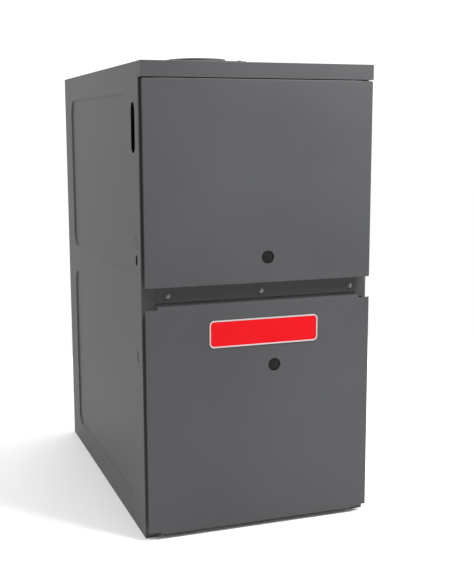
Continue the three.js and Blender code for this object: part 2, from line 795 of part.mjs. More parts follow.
// Hot surface igniter and flame sensor: a ceramic block with a rod through
// the rack in front of an end burner.
function rodSensor(x, blockHalf) {
  const front = rackFront - seat;
  return join(
    block([x - blockHalf, front - 12, burnerLevel - 9], [x + blockHalf, front, burnerLevel + 9]),
    rod(3, 'y', front - 18, rackFront + 22, [x, burnerLevel], 8));
}

part('burner_rack', burnerRack(), galvanized);
for (let k = 0; k < burnerCount; k += 1) {
  part(`burner_${k + 1}`, burner(firstTubeX + k * tubePitch), aluminized);
}
part('gas_manifold', gasManifold(), blackPaint);
part('gas_valve', gasValve(), aluminized);
part('gas_valve_knob', valveKnob(), redPlastic, assembly(knobAt.x, 0, knobAt.z));
part('igniter', rodSensor(sensorX, 6), ceramic);
part('flame_sensor', rodSensor(-sensorX, 5), ceramic);

// Rollout switch with its reset button, on top of the burner rack.
const rollout = { y: rackFront + rackDepth / 2, low: rackTop + seat, travel: 2 };

function rolloutSwitch() {
  const { y, low } = rollout;
  const ears = block([-16, y - 5, low], [16, y + 5, low + 1.2]);
  const body = rod(9, 'z', low, low + 11, [0, y], 12);
  const collar = rod(5.5, 'z', low + 11, low + 14, [0, y], 12);
  return cut(join(ears, body, collar), rod(3.3, 'z', low + 7, low + 15, [0, y], 12));
}

function resetButton() {
  const { y, low, travel } = rollout;
  return rod(3, 'z', low + 7 + travel + seat, low + 16 + travel, [0, y], 12);
}

// Limit switch: a round thermostat on a square flange on the vestibule panel.
const midLevel = (rackTop + outletLevel - 35) / 2;

function limitSwitch() {
  const flange = block([-16, onVestibule - 1.2, midLevel - 10], [16, onVestibule, midLevel + 10]);
  const cup = rod(9, 'y', onVestibule - 12, onVestibule, [0, midLevel], 20);
  const terminals = [-4, 4].map(
    (x) => block([x - 1, onVestibule - 20, midLevel - 3], [x + 1, onVestibule - 11, midLevel + 3]));
  return join(flange, cup, ...terminals);
}

// Pressure switch: a diaphragm housing with a hose barb at its centre.
const pressure = { x: side - 42, radius: 30, barb: onVestibule - 44 };

function pressureSwitch() {
  const { x, radius, barb } = pressure;
  return join(
    turned([
      [0, onVestibule], [radius - 6, onVestibule], [radius, onVestibule - 8],
      [radius, onVestibule - 13], [radius - 8, onVestibule - 22], [11, onVestibule - 26],
      [0, onVestibule - 26],
    ], 'y', [x, midLevel], 20),
    rod(3, 'y', barb, onVestibule - 20, [x, midLevel], 8));
}

part('rollout_switch', rolloutSwitch(), blackPlastic);
part('rollout_reset_button', resetButton(), redPlastic);
part('limit_switch', limitSwitch(), brightSteel);
part('pressure_switch', pressureSwitch(), blackPlastic);

// ---- Flue gas side --------------------------------------------------------

// Collector box: gathers the tubes' outlets, open to the vestibule panel.
function collectorBox() {
  const half = lastTubeX + tubeRadius - 2;
  const low = outletLevel - 35;
  const high = outletLevel + 35;
  const outline = roundedRect([-half, low], [half, high], 14);
  const inner = roundedRect([-half + sheet, low + sheet], [half - sheet, high - sheet], 14 - sheet);
  const lip = cut(
    block([-half - 8, onVestibule - sheet, low - 8], [half + 8, onVestibule, high + 8]),
    prism(inner, 'y', onVestibule - 5, onVestibule + 1));
  return join(
    cut(prism(outline, 'y', collectorFront, onVestibule),
      prism(inner, 'y', collectorFront + sheet, onVestibule + 1),
      rod(33, 'y', collectorFront - 1, collectorFront + sheet + 1, [inducerX, outletLevel], 24)),
    lip);
}

part('collector_box', collectorBox(), galvanized);

// The inducer's pieces are drawn round its shaft.
const inducer = assembly(inducerX, 0, outletLevel);

// Housing outline: a volute that opens upwards into a rectangular outlet.
function voluteShape(inset) {
  const growth = 1.27;
  const outer = inducerRadius * growth;
  const left = flueX - inducerX - 30;
  const right = left + 60;
  const top = stubTop - outletLevel;
  const shape = new THREE.Shape();
  const radiusAt = (turn) => inducerRadius + (outer - inducerRadius) * turn - inset;
  shape.moveTo(left + inset, top);
  const steps = 16;
  for (let k = 0; k <= steps; k += 1) {
    const turn = 1 - k / steps;
    const angle = radians(180 + 270 * (1 - turn));
    const radius = radiusAt(turn);
    shape.lineTo(radius * Math.cos(angle), radius * Math.sin(angle));
  }
  shape.lineTo(right - inset, radiusAt(0));
  shape.lineTo(right - inset, top);
  shape.closePath();
  return shape;
}

function inducerHousing() {
  const wall = 2;
  const shell = cut(
    prism(voluteShape(0), 'y', inducerFront, inducerBack),
    prism(voluteShape(wall), 'y', inducerFront + wall, inducerBack - wall));
  const localFlue = [flueX - inducerX, flueY];
  const top = stubTop - outletLevel;
  const flange = rod(flueRadius + 4, 'z', top - 3, top, localFlue, 24);
  const outlet = block([localFlue[0] - 27, inducerFront + wall, top - 8],
    [localFlue[0] + 27, inducerBack - wall, top + 1]);
  const inlet = rod(30, 'y', inducerBack - wall - 1, inducerBack + 1, [0, 0], 24);
  const shaftHole = rod(fanShaftRadius + seat, 'y', inducerFront - 1, inducerFront + wall + 1,
    [0, 0], 12);
  const barb = rod(3, 'x', inducerRadius - 4, inducerRadius + 12, [flueY, 0], 10);
  return join(cut(join(shell, flange), outlet, inlet, shaftHole), barb);
}

const inducerMotorBack = inducerFront - seat;
const inducerMotorFront = inducerMotorBack - 52;

// Shaded pole motor: a laminated body with end caps and four mounting posts.
function inducerMotor() {
  const profile = [
    [0, inducerMotorBack], [inducerMotorRadius - 12, inducerMotorBack],
    [inducerMotorRadius - 6, inducerMotorBack - 6], [inducerMotorRadius - 6, inducerMotorBack - 14],
    [inducerMotorRadius, inducerMotorBack - 16], [inducerMotorRadius, inducerMotorBack - 36],
    [inducerMotorRadius - 6, inducerMotorBack - 38],
    [inducerMotorRadius - 8, inducerMotorFront + 4], [14, inducerMotorFront], [0, inducerMotorFront],
  ];
  const posts = [45, 135, 225, 315].map((angle) => rod(4, 'y', inducerMotorBack - 34,
    inducerMotorBack, [(inducerMotorRadius + 1) * Math.cos(radians(angle)),
      (inducerMotorRadius + 1) * Math.sin(radians(angle))], 6));
  const bore = rod(fanShaftRadius + seat, 'y', inducerMotorFront - 1, inducerMotorBack + 1,
    [0, 0], 12);
  return cut(join(turned(profile, 'y', [0, 0], 16), ...posts), bore);
}

// Inducer wheel: a bladed disc in the housing and a small cooling fan in
// front of the motor, on one shaft.
function inducerWheel() {
  const blades = [];
  for (let k = 0; k < 6; k += 1) {
    const angle = 60 * k;
    const blade = block([16, inducerBack - 32, -0.8], [inducerRadius - 12, inducerBack - 10, 0.8]);
    blades.push(blade.rotate([0, angle, 0]));
  }
  const disc = rod(inducerRadius - 12, 'y', inducerBack - 34, inducerBack - 32, [0, 0], 20);
  const hub = rod(18, 'y', inducerBack - 34, inducerBack - 14, [0, 0], 12);
  const fanBack = inducerMotorFront - 4;
  const shaft = rod(fanShaftRadius, 'y', fanBack - 9, inducerBack - 14, [0, 0], 12);
  const vanes = [];
  for (let k = 0; k < 4; k += 1) {
    vanes.push(block([2, fanBack - 8, -0.7], [22, fanBack - 0.5, 0.7]).rotate([0, 90 * k + 45, 0]));
  }
  const fanDisc = rod(22, 'y', fanBack - 1, fanBack, [0, 0], 16);
  return join(disc, hub, shaft, fanDisc, ...blades, ...vanes);
}

part('inducer_housing', inducerHousing(), blackPaint, inducer);
part('inducer_motor', inducerMotor(), castIron, inducer);
part('inducer_wheel', inducerWheel(), aluminized, inducer);

part('flue_pipe', ring(flueRadius, flueRadius - sheet, 'z', stubTop + seat, cabinetHeight + 8,
  [flueX, flueY], 24), galvanized);

// Pressure hose: from the pressure switch's barb to the inducer's barb.
const hoseRadius = 4;

function pressureHose() {
  const end = inducerX + inducerRadius + 12 + seat;
  const start = pressure.barb - seat;
  return bentTube([
    [pressure.x, start, midLevel], [pressure.x, flueY, midLevel],
    [pressure.x, flueY, outletLevel], [end, flueY, outletLevel],
  ], 18, 4, hoseRadius, 8);
}

part('pressure_hose', pressureHose(), rubber);

// ---- Air side -------------------------------------------------------------

// The blower's pieces are drawn round its shaft, with y rearwards.
const blower = assembly(0, blowerY, blowerZ);

// A point of the logarithmic spiral, moved out by some distance.
function scrollPoint(angle, offset) {
  const radius = scrollRadius * Math.exp(scrollGrowth * (angle - scrollCutOff)) + offset;
  return new THREE.Vector2(radius * Math.cos(radians(angle)), radius * Math.sin(radians(angle)));
}

// The spiral from the cut-off round to the rear wall, with straight walls up
// to the discharge.
function scrollLine(offset) {
  const turns = 20;
  const points = [];
  for (let k = 0; k <= turns; k += 1) {
    points.push(scrollPoint(scrollCutOff + (scrollEnd - scrollCutOff) * k / turns, offset));
  }
  const cutOffX = scrollPoint(scrollCutOff, 0).x - offset;
  points[0].x = cutOffX;
  const rear = points[points.length - 1].x;
  return [new THREE.Vector2(cutOffX, scrollHeight), ...points, new THREE.Vector2(rear, scrollHeight)];
}

function scrollWrap() {
  const half = scrollWidth / 2 - sheet - seat;
  const strip = [...scrollLine(0), ...scrollLine(-sheet).reverse()];
  return prism(new THREE.Shape(strip), 'x', -half, half);
}

// Side plate: a sheet with the scroll's outline and a lip beyond it, and an
// inlet whose mouth rolls in towards the wheel.
const inletRadius = wheelRadius - 15;
const mouthRoll = 12;

function blowerSide(end) {
  const outer = scrollWidth / 2;
  const faces = end > 0 ? [outer - sheet, outer] : [-outer, -outer + sheet];
  const plate = cut(
    prism(new THREE.Shape(scrollLine(6)), 'x', ...faces),
    rod(inletRadius + 1, 'x', faces[0] - 1, faces[1] + 1, [0, 0], 20));
  const roll = (radius) => [60, 25].map((angle) => [
    inletRadius - radius * Math.cos(radians(angle)),
    outer - mouthRoll + radius * Math.sin(radians(angle)),
  ]);
  const bell = [
    [inletRadius + 2, outer], [inletRadius, outer], ...roll(mouthRoll),
    [inletRadius - mouthRoll, outer - mouthRoll],
    [inletRadius - mouthRoll + sheet, outer - mouthRoll], ...roll(mouthRoll - sheet).reverse(),
    [inletRadius, outer - sheet], [inletRadius + 2, outer - sheet],
  ];
  bell.push(bell[0]);
  const mouth = bell.map(([radius, x]) => [radius, x * end]);
  return join(plate, turned(mouth, 'x', [0, 0], 20));
}

// Blower wheel's blade cage: forward-curved blades between two end rings,
// staked to the rim of the wheel. The gaps are cut from a drum.
const cageInner = wheelRadius - bladeDepth;

function blowerCage() {
  const half = wheelWidth / 2;
  const endRing = 7;
  const drum = ring(wheelRadius, cageInner, 'x', -half, half, [0, 0], bladeCount);
  const gap = prism(bladeGap(cageInner), 'x', -half + endRing, half - endRing);
  const gaps = [];
  for (let k = 0; k < bladeCount; k += 1) gaps.push(gap.rotate([360 * (k + 0.3) / bladeCount, 0, 0]));
  return cut(drum, ...gaps);
}

// Blower wheel: the centre disc that carries the blades, and its hub.
function blowerWheel() {
  const disc = rod(cageInner - seat, 'x', -2, 2, [0, 0], bladeCount);
  const hub = rod(20, 'x', -14, 14, [0, 0], 16);
  const bore = rod(blowerShaftRadius + seat, 'x', -15, 15, [0, 0], 16);
  return cut(join(disc, hub), bore);
}

// The space between two blades, which lean forwards towards the rim.
function bladeGap(inner) {
  const bladeThickness = 1.8;
  const pitch = 360 / bladeCount;
  const lean = 15;
  const side1 = [];
  const side2 = [];
  for (const share of [-0.1, 0.5, 1.1]) {
    const radius = inner + share * bladeDepth;
    const blade = THREE.MathUtils.radToDeg(bladeThickness / 2 / radius);
    const curve = lean * Math.max(share, 0) ** 1.6;
    const at = (angle) => new THREE.Vector2(
      radius * Math.cos(radians(angle)), radius * Math.sin(radians(angle)));
    side1.push(at(curve + blade));
    side2.push(at(curve + pitch - blade));
  }
  return new THREE.Shape([...side1, ...side2.reverse()]);
}

const motorSides = 24;        // facets of the motor's shell and its clamp band
const motorStart = 32;
const motorEnd = motorStart + blowerMotorLength;

// Direct drive motor: a drawn shell with domed ends and cooling slots.
function blowerMotor() {
  const radius = blowerMotorRadius;
  const shell = turned([
    [0, motorStart], [radius - 26, motorStart], [radius - 6, motorStart + 8],
    [radius, motorStart + 14], [radius, motorEnd - 14], [radius - 6, motorEnd - 8],
    [radius - 26, motorEnd], [0, motorEnd],
  ], 'x', [0, 0], motorSides);
  const slots = [];
  for (let k = 0; k < 6; k += 1) {
    slots.push(block([motorEnd - 4, radius - 38, -4], [motorEnd + 1, radius - 24, 4])
      .rotate([60 * k, 0, 0]));
  }
  const bore = rod(blowerShaftRadius + seat, 'x', motorStart - 1, motorEnd + 1, [0, 0], 16);
  return cut(shell, ...slots, bore);
}

// Motor mount: a clamp band round the motor and three arms to the side plate.
function motorMount() {
  const inner = blowerMotorRadius + seat;
  const outer = inner + 2.2;
  const plateFace = scrollWidth / 2 + seat;
  const bandWidth = 20;
  const bandEnd = plateFace + 4;
  const band = ring(outer, inner, 'x', bandEnd - bandWidth, bandEnd, [0, 0], motorSides);
  const arms = [90, 210, 330].map((angle) => {
    const arm = block([plateFace, outer - 1, -9], [plateFace + 3, inletRadius + 38, 9]);
    const rib = block([plateFace, outer - 1, -1.5], [plateFace + 9, inletRadius + 10, 1.5]);
    return join(arm, rib).rotate([angle, 0, 0]);
  });
  return join(band, ...arms);
}

part('blower_side_left', blowerSide(-1), galvanized, blower);
part('blower_side_right', blowerSide(1), galvanized, blower);
part('blower_scroll_wrap', scrollWrap(), galvanized, blower);
part('blower_wheel', blowerWheel(), galvanized, blower);
part('blower_cage', blowerCage(), galvanized, blower);
part('blower_shaft', rod(blowerShaftRadius, 'x', -16, motorEnd + 12, [0, 0], 16), brightSteel,
  blower);
part('blower_motor', blowerMotor(), blackPaint, blower);
part('motor_mount', motorMount(), galvanized, blower);

// ---- Controls -------------------------------------------------------------

const trayFront = trayBack - sheet;
const boardBack = trayFront - 7;
const boardFront = boardBack - 1.6;
const tray = { left: -90, right: 130, low: 235 };
const board = { left: -20, right: 120, low: 250, high: 400 };

// Control tray: a plate hung from the blower deck in front of the blower.
function controlTray() {
  const high = deckBottom - seat;
  const { left, right, low } = tray;
  const plate = block([left, trayFront, low], [right, trayBack, high]);
  const flange = block([left, trayFront, high - sheet], [right, trayBack + 12, high]);
  const foot = block([left, trayFront - 10, low], [right, trayBack, low + sheet]);
  return join(plate, flange, foot);
}

// Control board: circuit board on standoffs, with relays, terminal strip,
// capacitor and the status light behind the lower sight plug.
function controlBoard() {
  const { left, right, low, high } = board;
  const plate = block([left, boardFront, low], [right, boardBack, high]);
  const standoffs = [left + 8, right - 8].flatMap(
    (x) => [low + 8, high - 8].map(
      (z) => rod(3.5, 'y', boardFront, trayFront - seat, [x, z], 8)));
  const relays = [left + 10, left + 38, left + 66].map(
    (x) => block([x, boardFront - 18, high - 48], [x + 22, boardFront + 0.5, high - 20]));
  const strip = block([40, boardFront - 12, low + 6], [112, boardFront + 0.5, low + 18]);
  const capacitor = rod(8, 'y', boardFront - 20, boardFront + 0.5, [96, 340], 16);
  const light = rod(2.5, 'y', boardFront - 6, boardFront + 0.5, [lowerPlug.x, lowerPlug.z], 12);
  const plug = block([-6, boardFront - 14, 386], [26, boardFront + 0.5, high - 2]);
  return join(plate, ...standoffs, ...relays, strip, capacitor, light, plug);
}

// Transformer: a laminated core with a winding and two feet on the tray.
function transformer() {
  const rear = trayFront - seat;
  const [left, right, low, high] = [-85, -33, 306, 350];
  const core = block([left, rear - 40, low], [right, rear - 8, high]);
  const winding = prism(roundedRect([left + 10, low + 8], [right - 10, high - 8], 6),
    'y', rear - 48, rear - 2, 3);
  const feet = block([left, rear - 1.5, low - 10], [right, rear, high + 10]);
  const legs = [left, right - 5].map(
    (x) => block([x, rear - 10, low], [x + 5, rear - 1, high]));
  return join(core, winding, feet, ...legs);
}

part('control_tray', controlTray(), galvanized);
part('control_board', controlBoard(), circuitGreen);
part('transformer', transformer(), copperBrown);

// Door switch under the middle rail; the lower door presses its plunger in.
const doorSwitch = { x: 152, low: midRailBottom - seat - 25, travel: 4 };
const plungerTip = doorPlane + sheet + seat;
const switchFront = rimPlane + railJoggle;

function doorSwitchBody() {
  const { x, low } = doorSwitch;
  const high = low + 25;
  return cut(
    join(block([x - 12, switchFront, low], [x + 12, switchFront + 38, high]),
      block([x - 16, switchFront, high - 6], [x + 16, switchFront + 2, high])),
    rod(4 + seat, 'y', switchFront - 1, switchFront + 22, [x, low + 12], 16));
}

function doorSwitchPlunger() {
  const { x, low } = doorSwitch;
  return rod(4, 'y', plungerTip, switchFront + 14, [x, low + 12], 16);
}

part('door_switch', doorSwitchBody(), blackPlastic);
part('door_switch_plunger', doorSwitchPlunger(), ceramic);

// Junction box on the left wall behind the knock-out, open in front.
const junction = { left: -innerWidth, low: burnerLevel + 14, rear: wireSlotY + 32 };

function junctionBox() {
  const { left, low, rear } = junction;
  const right = left + 45.5;
  const front = rear - 58;
  const high = low + 52;
  return cut(
    block([left, front, low], [right, rear, high]),
    block([left + sheet, front - 1, low + sheet], [right - sheet, rear - sheet, high - sheet]),
    rod(6, 'y', rear - 3, rear + 1, [harnessX, low + 26], 12));
}

// Wire harness: from the control board's plug through the deck to the
// junction box, held all the way.
function wireHarness() {
  const level = junction.low + 26;
  const under = deckBottom - 15;
  const corners = [
    [10, boardFront - 7, board.high - 2 + seat], [10, boardFront - 7, under - 10],
    [10, harnessY, under], [harnessX, harnessY, under], [harnessX, harnessY, level],
    [harnessX, junction.rear - sheet, level],
  ];
  return bentTube(corners, 12, 2, 5, 8);
}

part('junction_box', junctionBox(), galvanized);
part('wire_harness', wireHarness(), blackPlastic);

export default furnace;
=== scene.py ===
"""Looks of a forced air gas furnace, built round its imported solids."""

import json
import math

import bmesh
import bpy
from mathutils import Matrix, Vector


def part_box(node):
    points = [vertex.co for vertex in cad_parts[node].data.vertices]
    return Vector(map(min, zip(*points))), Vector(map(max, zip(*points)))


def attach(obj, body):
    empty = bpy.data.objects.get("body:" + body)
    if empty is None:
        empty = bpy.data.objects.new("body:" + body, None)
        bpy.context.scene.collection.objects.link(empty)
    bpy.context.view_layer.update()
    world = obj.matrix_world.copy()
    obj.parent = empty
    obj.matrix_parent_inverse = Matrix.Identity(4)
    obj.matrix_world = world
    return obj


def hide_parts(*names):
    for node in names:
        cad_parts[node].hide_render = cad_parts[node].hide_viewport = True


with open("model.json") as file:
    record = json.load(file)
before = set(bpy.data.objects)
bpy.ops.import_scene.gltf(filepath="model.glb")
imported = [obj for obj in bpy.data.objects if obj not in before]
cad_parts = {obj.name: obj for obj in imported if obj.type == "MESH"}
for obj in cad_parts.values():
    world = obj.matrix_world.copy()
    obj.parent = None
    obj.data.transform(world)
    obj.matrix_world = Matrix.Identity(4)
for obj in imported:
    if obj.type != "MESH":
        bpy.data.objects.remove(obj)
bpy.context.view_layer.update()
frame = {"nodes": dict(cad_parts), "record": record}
scene = bpy.context.scene
scene.view_settings.view_transform = "Standard"


# Camera: it stands left of the front at chest height and looks a little
# down. Its place and lens follow from the cabinet's edges in the photograph.

FRAME_HEIGHT_PX = 576
FOCAL_PX = 988.6
camera_at = Vector((-0.659, -2.055, 0.757))
heading = math.radians(-19.84)
pitch = math.radians(9.11)
roll = math.radians(-0.13)

lens = bpy.data.cameras.new("camera")
lens.sensor_fit = "AUTO"
lens.sensor_width = 36
lens.lens = lens.sensor_width * FOCAL_PX / FRAME_HEIGHT_PX
camera = bpy.data.objects.new("camera", lens)
scene.collection.objects.link(camera)
scene.camera = camera
gaze = Vector((
    -math.sin(heading) * math.cos(pitch),
    math.cos(heading) * math.cos(pitch),
    -math.sin(pitch),
))
turn = gaze.to_track_quat("-Z", "Y").to_matrix() @ Matrix.Rotation(roll, 3, "Z")
camera.matrix_world = Matrix.Translation(camera_at) @ turn.to_4x4()


# Floor and light: a pale studio floor and a white surround that is brighter
# overhead, behind and below the horizon, with a key light at the front right
# and a weak fill at the front left.


class Socket:
    """A shader value; the operators add Math nodes."""

    def __init__(self, tree, link):
        self.tree = tree
        self.link = link

    def math(self, operation, *others):
        return self.tree.node("ShaderNodeMath", 0, {"operation": operation}, self, *others)

    def __add__(self, other):
        return self.math("ADD", other)

    def __radd__(self, other):
        return self.math("ADD", other)

    def __sub__(self, other):
        return self.math("SUBTRACT", other)

    def __rsub__(self, other):
        return Socket(self.tree, other).math("SUBTRACT", self)

    def __mul__(self, other):
        return self.math("MULTIPLY", other)

    def __rmul__(self, other):
        return self.math("MULTIPLY", other)

    def between(self, low, high):
        """0 below low, 1 above high, straight between them."""
        return self.tree.node(
            "ShaderNodeMapRange", 0, {"clamp": True}, self, low, high, 0.0, 1.0)


class Tree:
    """A node tree and the one method that adds its nodes."""

    def __init__(self, tree):
        self.nodes = tree.nodes
        self.links = tree.links

    def node(self, kind, output, settings, *values):
        made = self.nodes.new(kind)
        for key, value in settings.items():
            setattr(made, key, value)
        for socket, value in zip(made.inputs, values):
            self.feed(socket, value)
        return Socket(self, made.outputs[output])

    def feed(self, socket, value):
        if isinstance(value, Socket) and isinstance(value.link, bpy.types.NodeSocket):
            self.links.new(value.link, socket)
        elif isinstance(value, Socket):
            socket.default_value = value.link
        elif value is not None:
            socket.default_value = value


class Finish(Tree):
    """A material for one finish."""

    def __init__(self, name):
        self.material = bpy.data.materials.new(name)
        self.material.use_nodes = True
        super().__init__(self.material.node_tree)
        self.shader = self.nodes["Principled BSDF"]

    def place(self):
        return self.node("ShaderNodeTexCoord", "Object", {})

    def noise(self, where, scale, detail=2.0, roughness=0.5):
        made = self.node("ShaderNodeTexNoise", "Fac", {}, where)
        made.link.node.inputs["Scale"].default_value = scale
        made.link.node.inputs["Detail"].default_value = detail
        made.link.node.inputs["Roughness"].default_value = roughness
        return made

    def stretched(self, where, scale):
        """Object coordinates scaled by a triple, for grain along one way."""
        return self.node(
            "ShaderNodeMapping", 0, {}, where, (0, 0, 0), (0, 0, 0), scale)

    def blend(self, share, dark, light):
        made = self.node("ShaderNodeMix", 2, {"data_type": "RGBA"})
        mix = made.link.node
        self.feed(mix.inputs[0], share)
        self.feed(mix.inputs[6], dark if isinstance(dark, Socket) else (*dark, 1))
        self.feed(mix.inputs[7], light if isinstance(light, Socket) else (*light, 1))
        return made

    def bump(self, height, distance, strength):
        made = self.node("ShaderNodeBump", 0, {})
        bump = made.link.node
        bump.inputs["Strength"].default_value = strength
        bump.inputs["Distance"].default_value = distance
        self.feed(bump.inputs["Height"], height)
        return made

    def set(self, **values):
        for key, value in values.items():
            self.feed(self.shader.inputs[key.replace("_", " ")], value)
        return self.material


def wear(piece, material):
    piece.data.materials.clear()
    piece.data.materials.append(material)


FLOOR_RADIUS = 1.3
bpy.ops.object.select_all(action="DESELECT")
bpy.ops.mesh.primitive_circle_add(
    vertices=96, radius=FLOOR_RADIUS, fill_type="NGON", location=(0.4, 0.0, 0))
floor = bpy.context.object
floor.name = "studio_floor"
bpy.ops.object.transform_apply(location=True, rotation=True, scale=True)
floor_finish = Finish("studio_floor")
cloudy = floor_finish.noise(floor_finish.place(), 0.8)
wear(floor, floor_finish.set(
    Base_Color=floor_finish.blend(cloudy, (0.92, 0.92, 0.92), (0.95, 0.95, 0.95)),
    Roughness=0.9))
floor_finish.shader.inputs["Specular IOR Level"].default_value = 0.1

world = bpy.data.worlds.new("studio")
scene.world = world
world.use_nodes = True
surround = world.node_tree.nodes["Background"]
surround.inputs["Color"].default_value = (1.0, 1.0, 1.0, 1.0)
sky = Tree(world.node_tree)
rise = sky.node("ShaderNodeSeparateXYZ", 2, {}, sky.node("ShaderNodeTexCoord", "Generated", {}))
ahead = Socket(sky, rise.link.node.outputs[1])
overhead = rise.between(0.0, 1.0)
behind = ahead.between(-0.6, 0.5)
below = rise.between(0.02, -0.06)
level = (0.30 + behind * 0.80) * (1 - below) + below
sky.feed(surround.inputs["Strength"], level + overhead * 0.80)


def area_light(name, at, towards, side, power):
    data = bpy.data.lights.new(name, "AREA")
    data.size = side
    data.energy = power
    made = bpy.data.objects.new(name, data)
    scene.collection.objects.link(made)
    aim = (Vector(towards) - Vector(at)).to_track_quat("-Z", "Y")
    made.matrix_world = Matrix.Translation(at) @ aim.to_matrix().to_4x4()


area_light("key", (0.8, -1.15, 1.75), (0.1, -0.36, 0.75), 0.7, 56)
area_light("fill", (-2.6, -1.2, 1.8), (0.0, 0.0, 0.4), 2.0, 4)


# Upper door: one sheet with hemmed side edges, a deep flange behind each hem
# and a shallow one along the top and bottom. It is sprayed with a semi-gloss
# dark grey baked enamel that has a faint orange peel.

SHEET = 0.0012
RIM = 0.025
BEND = 0.0006
SMOOTH_BELOW = math.radians(35)


def enamel():
    finish = Finish("grey_enamel")
    spot = finish.place()
    drift = finish.noise(spot, 3.2, 3.0, 0.55)
    shade = drift * 0.75 + finish.noise(spot, 900.0, 1.0) * 0.25
    peel = finish.noise(spot, 420.0, 1.5)
    finish.shader.inputs["Specular IOR Level"].default_value = 0.25
    return finish.set(
        Base_Color=finish.blend(
            shade.between(0.35, 0.65), (0.042, 0.0429, 0.0450), (0.050, 0.0510, 0.0533)),
        Roughness=0.44 + drift * 0.1,
        Normal=finish.bump(peel, 0.00010, 0.30))


grey_enamel = enamel()


def leave_edit_mode():
    if bpy.context.mode != "OBJECT":
        bpy.ops.object.mode_set(mode="OBJECT")


def select_only(piece):
    leave_edit_mode()
    bpy.ops.object.select_all(action="DESELECT")
    piece.select_set(True)
    bpy.context.view_layer.objects.active = piece


def start(add, name, stretch=(1, 1, 1), **placing):
    """A new primitive in edit mode, with nothing of it selected."""
    leave_edit_mode()
    bpy.ops.object.select_all(action="DESELECT")
    add(**placing)
    piece = bpy.context.object
    piece.name = name
    piece.scale = stretch
    bpy.ops.object.transform_apply(location=True, rotation=True, scale=True)
    bpy.ops.object.mode_set(mode="EDIT")
    bpy.ops.mesh.select_all(action="DESELECT")
    return piece


def start_box(name, low, high):
    middle = [(a + b) / 2 for a, b in zip(low, high)]
    size = [b - a for a, b in zip(low, high)]
    return start(bpy.ops.mesh.primitive_cube_add, name, size, size=1, location=middle)


def pick(piece, kind, wanted):
    """Selects the faces, edges or vertices whose middle and normal, or way
    for an edge, are wanted."""
    bpy.ops.mesh.select_mode(type=kind)
    bpy.ops.mesh.select_all(action="DESELECT")
    shape = bmesh.from_edit_mesh(piece.data)
    shape.normal_update()
    if kind == "FACE":
        found = [f for f in shape.faces if wanted(f.calc_center_median(), f.normal)]
    elif kind == "EDGE":
        found = [
            e for e in shape.edges
            if wanted((e.verts[0].co + e.verts[1].co) / 2,
                      (e.verts[1].co - e.verts[0].co).normalized())]
    else:
        found = [v for v in shape.verts if wanted(v.co, v.normal)]
    for item in found:
        item.select_set(True)
    shape.select_flush_mode()
    bmesh.update_edit_mesh(piece.data)


def push(x=0.0, y=0.0, z=0.0):
    bpy.ops.mesh.extrude_region_move(TRANSFORM_OT_translate={"value": (x, y, z)})


def split(at, across):
    bpy.ops.mesh.select_all(action="SELECT")
    bpy.ops.mesh.bisect(plane_co=at, plane_no=across)
    bpy.ops.mesh.select_all(action="DESELECT")


def apply(piece, kind, **settings):
    """Adds a modifier with these settings and applies it."""
    select_only(piece)
    made = piece.modifiers.new(kind.title(), kind)
    for key, value in settings.items():
        setattr(made, key, value)
    bpy.ops.object.modifier_apply(modifier=made.name)


def bevelled(piece, width, segments=3, angle=35):
    apply(piece, "BEVEL", width=width, segments=segments, limit_method="ANGLE",
          angle_limit=math.radians(angle), use_clamp_overlap=True)


def combine(piece, operation, *tools):
    for tool in tools:
        apply(piece, "BOOLEAN", operation=operation, object=tool, solver="EXACT")
        bpy.data.objects.remove(tool)


def finished(piece, material, slot, body, *nodes):
    """Smooths the piece, gives it its finish and ties it to its body."""
    select_only(piece)
    bpy.ops.object.shade_smooth_by_angle(angle=SMOOTH_BELOW)
    apply(piece, "WEIGHTED_NORMAL", keep_sharp=True, weight=80)
    wear(piece, material)
    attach(piece, body)
    if nodes:
        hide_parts(*nodes)
    return piece


SAME_PLACE = 0.0004


def near(a, b):
    return abs(a - b) < SAME_PLACE


def disc_cutter(radius, at, depth):
    piece = start(
        bpy.ops.mesh.primitive_cylinder_add, "cutter", vertices=64, radius=radius,
        depth=depth, location=at, rotation=(math.pi / 2, 0, 0))
    leave_edit_mode()
    return piece


def box_cutter(low, high):
    piece = start_box("cutter", low, high)
    leave_edit_mode()
    return piece


PLUG_RADIUS = 0.012
PLUG_FIT = 0.0003
DOOR_HEM = 0.010
DOOR_LIP = 0.012
half_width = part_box("top_front_rail")[1][0]
rim_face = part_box("left_side_panel")[0][1]
open_half = half_width - RIM


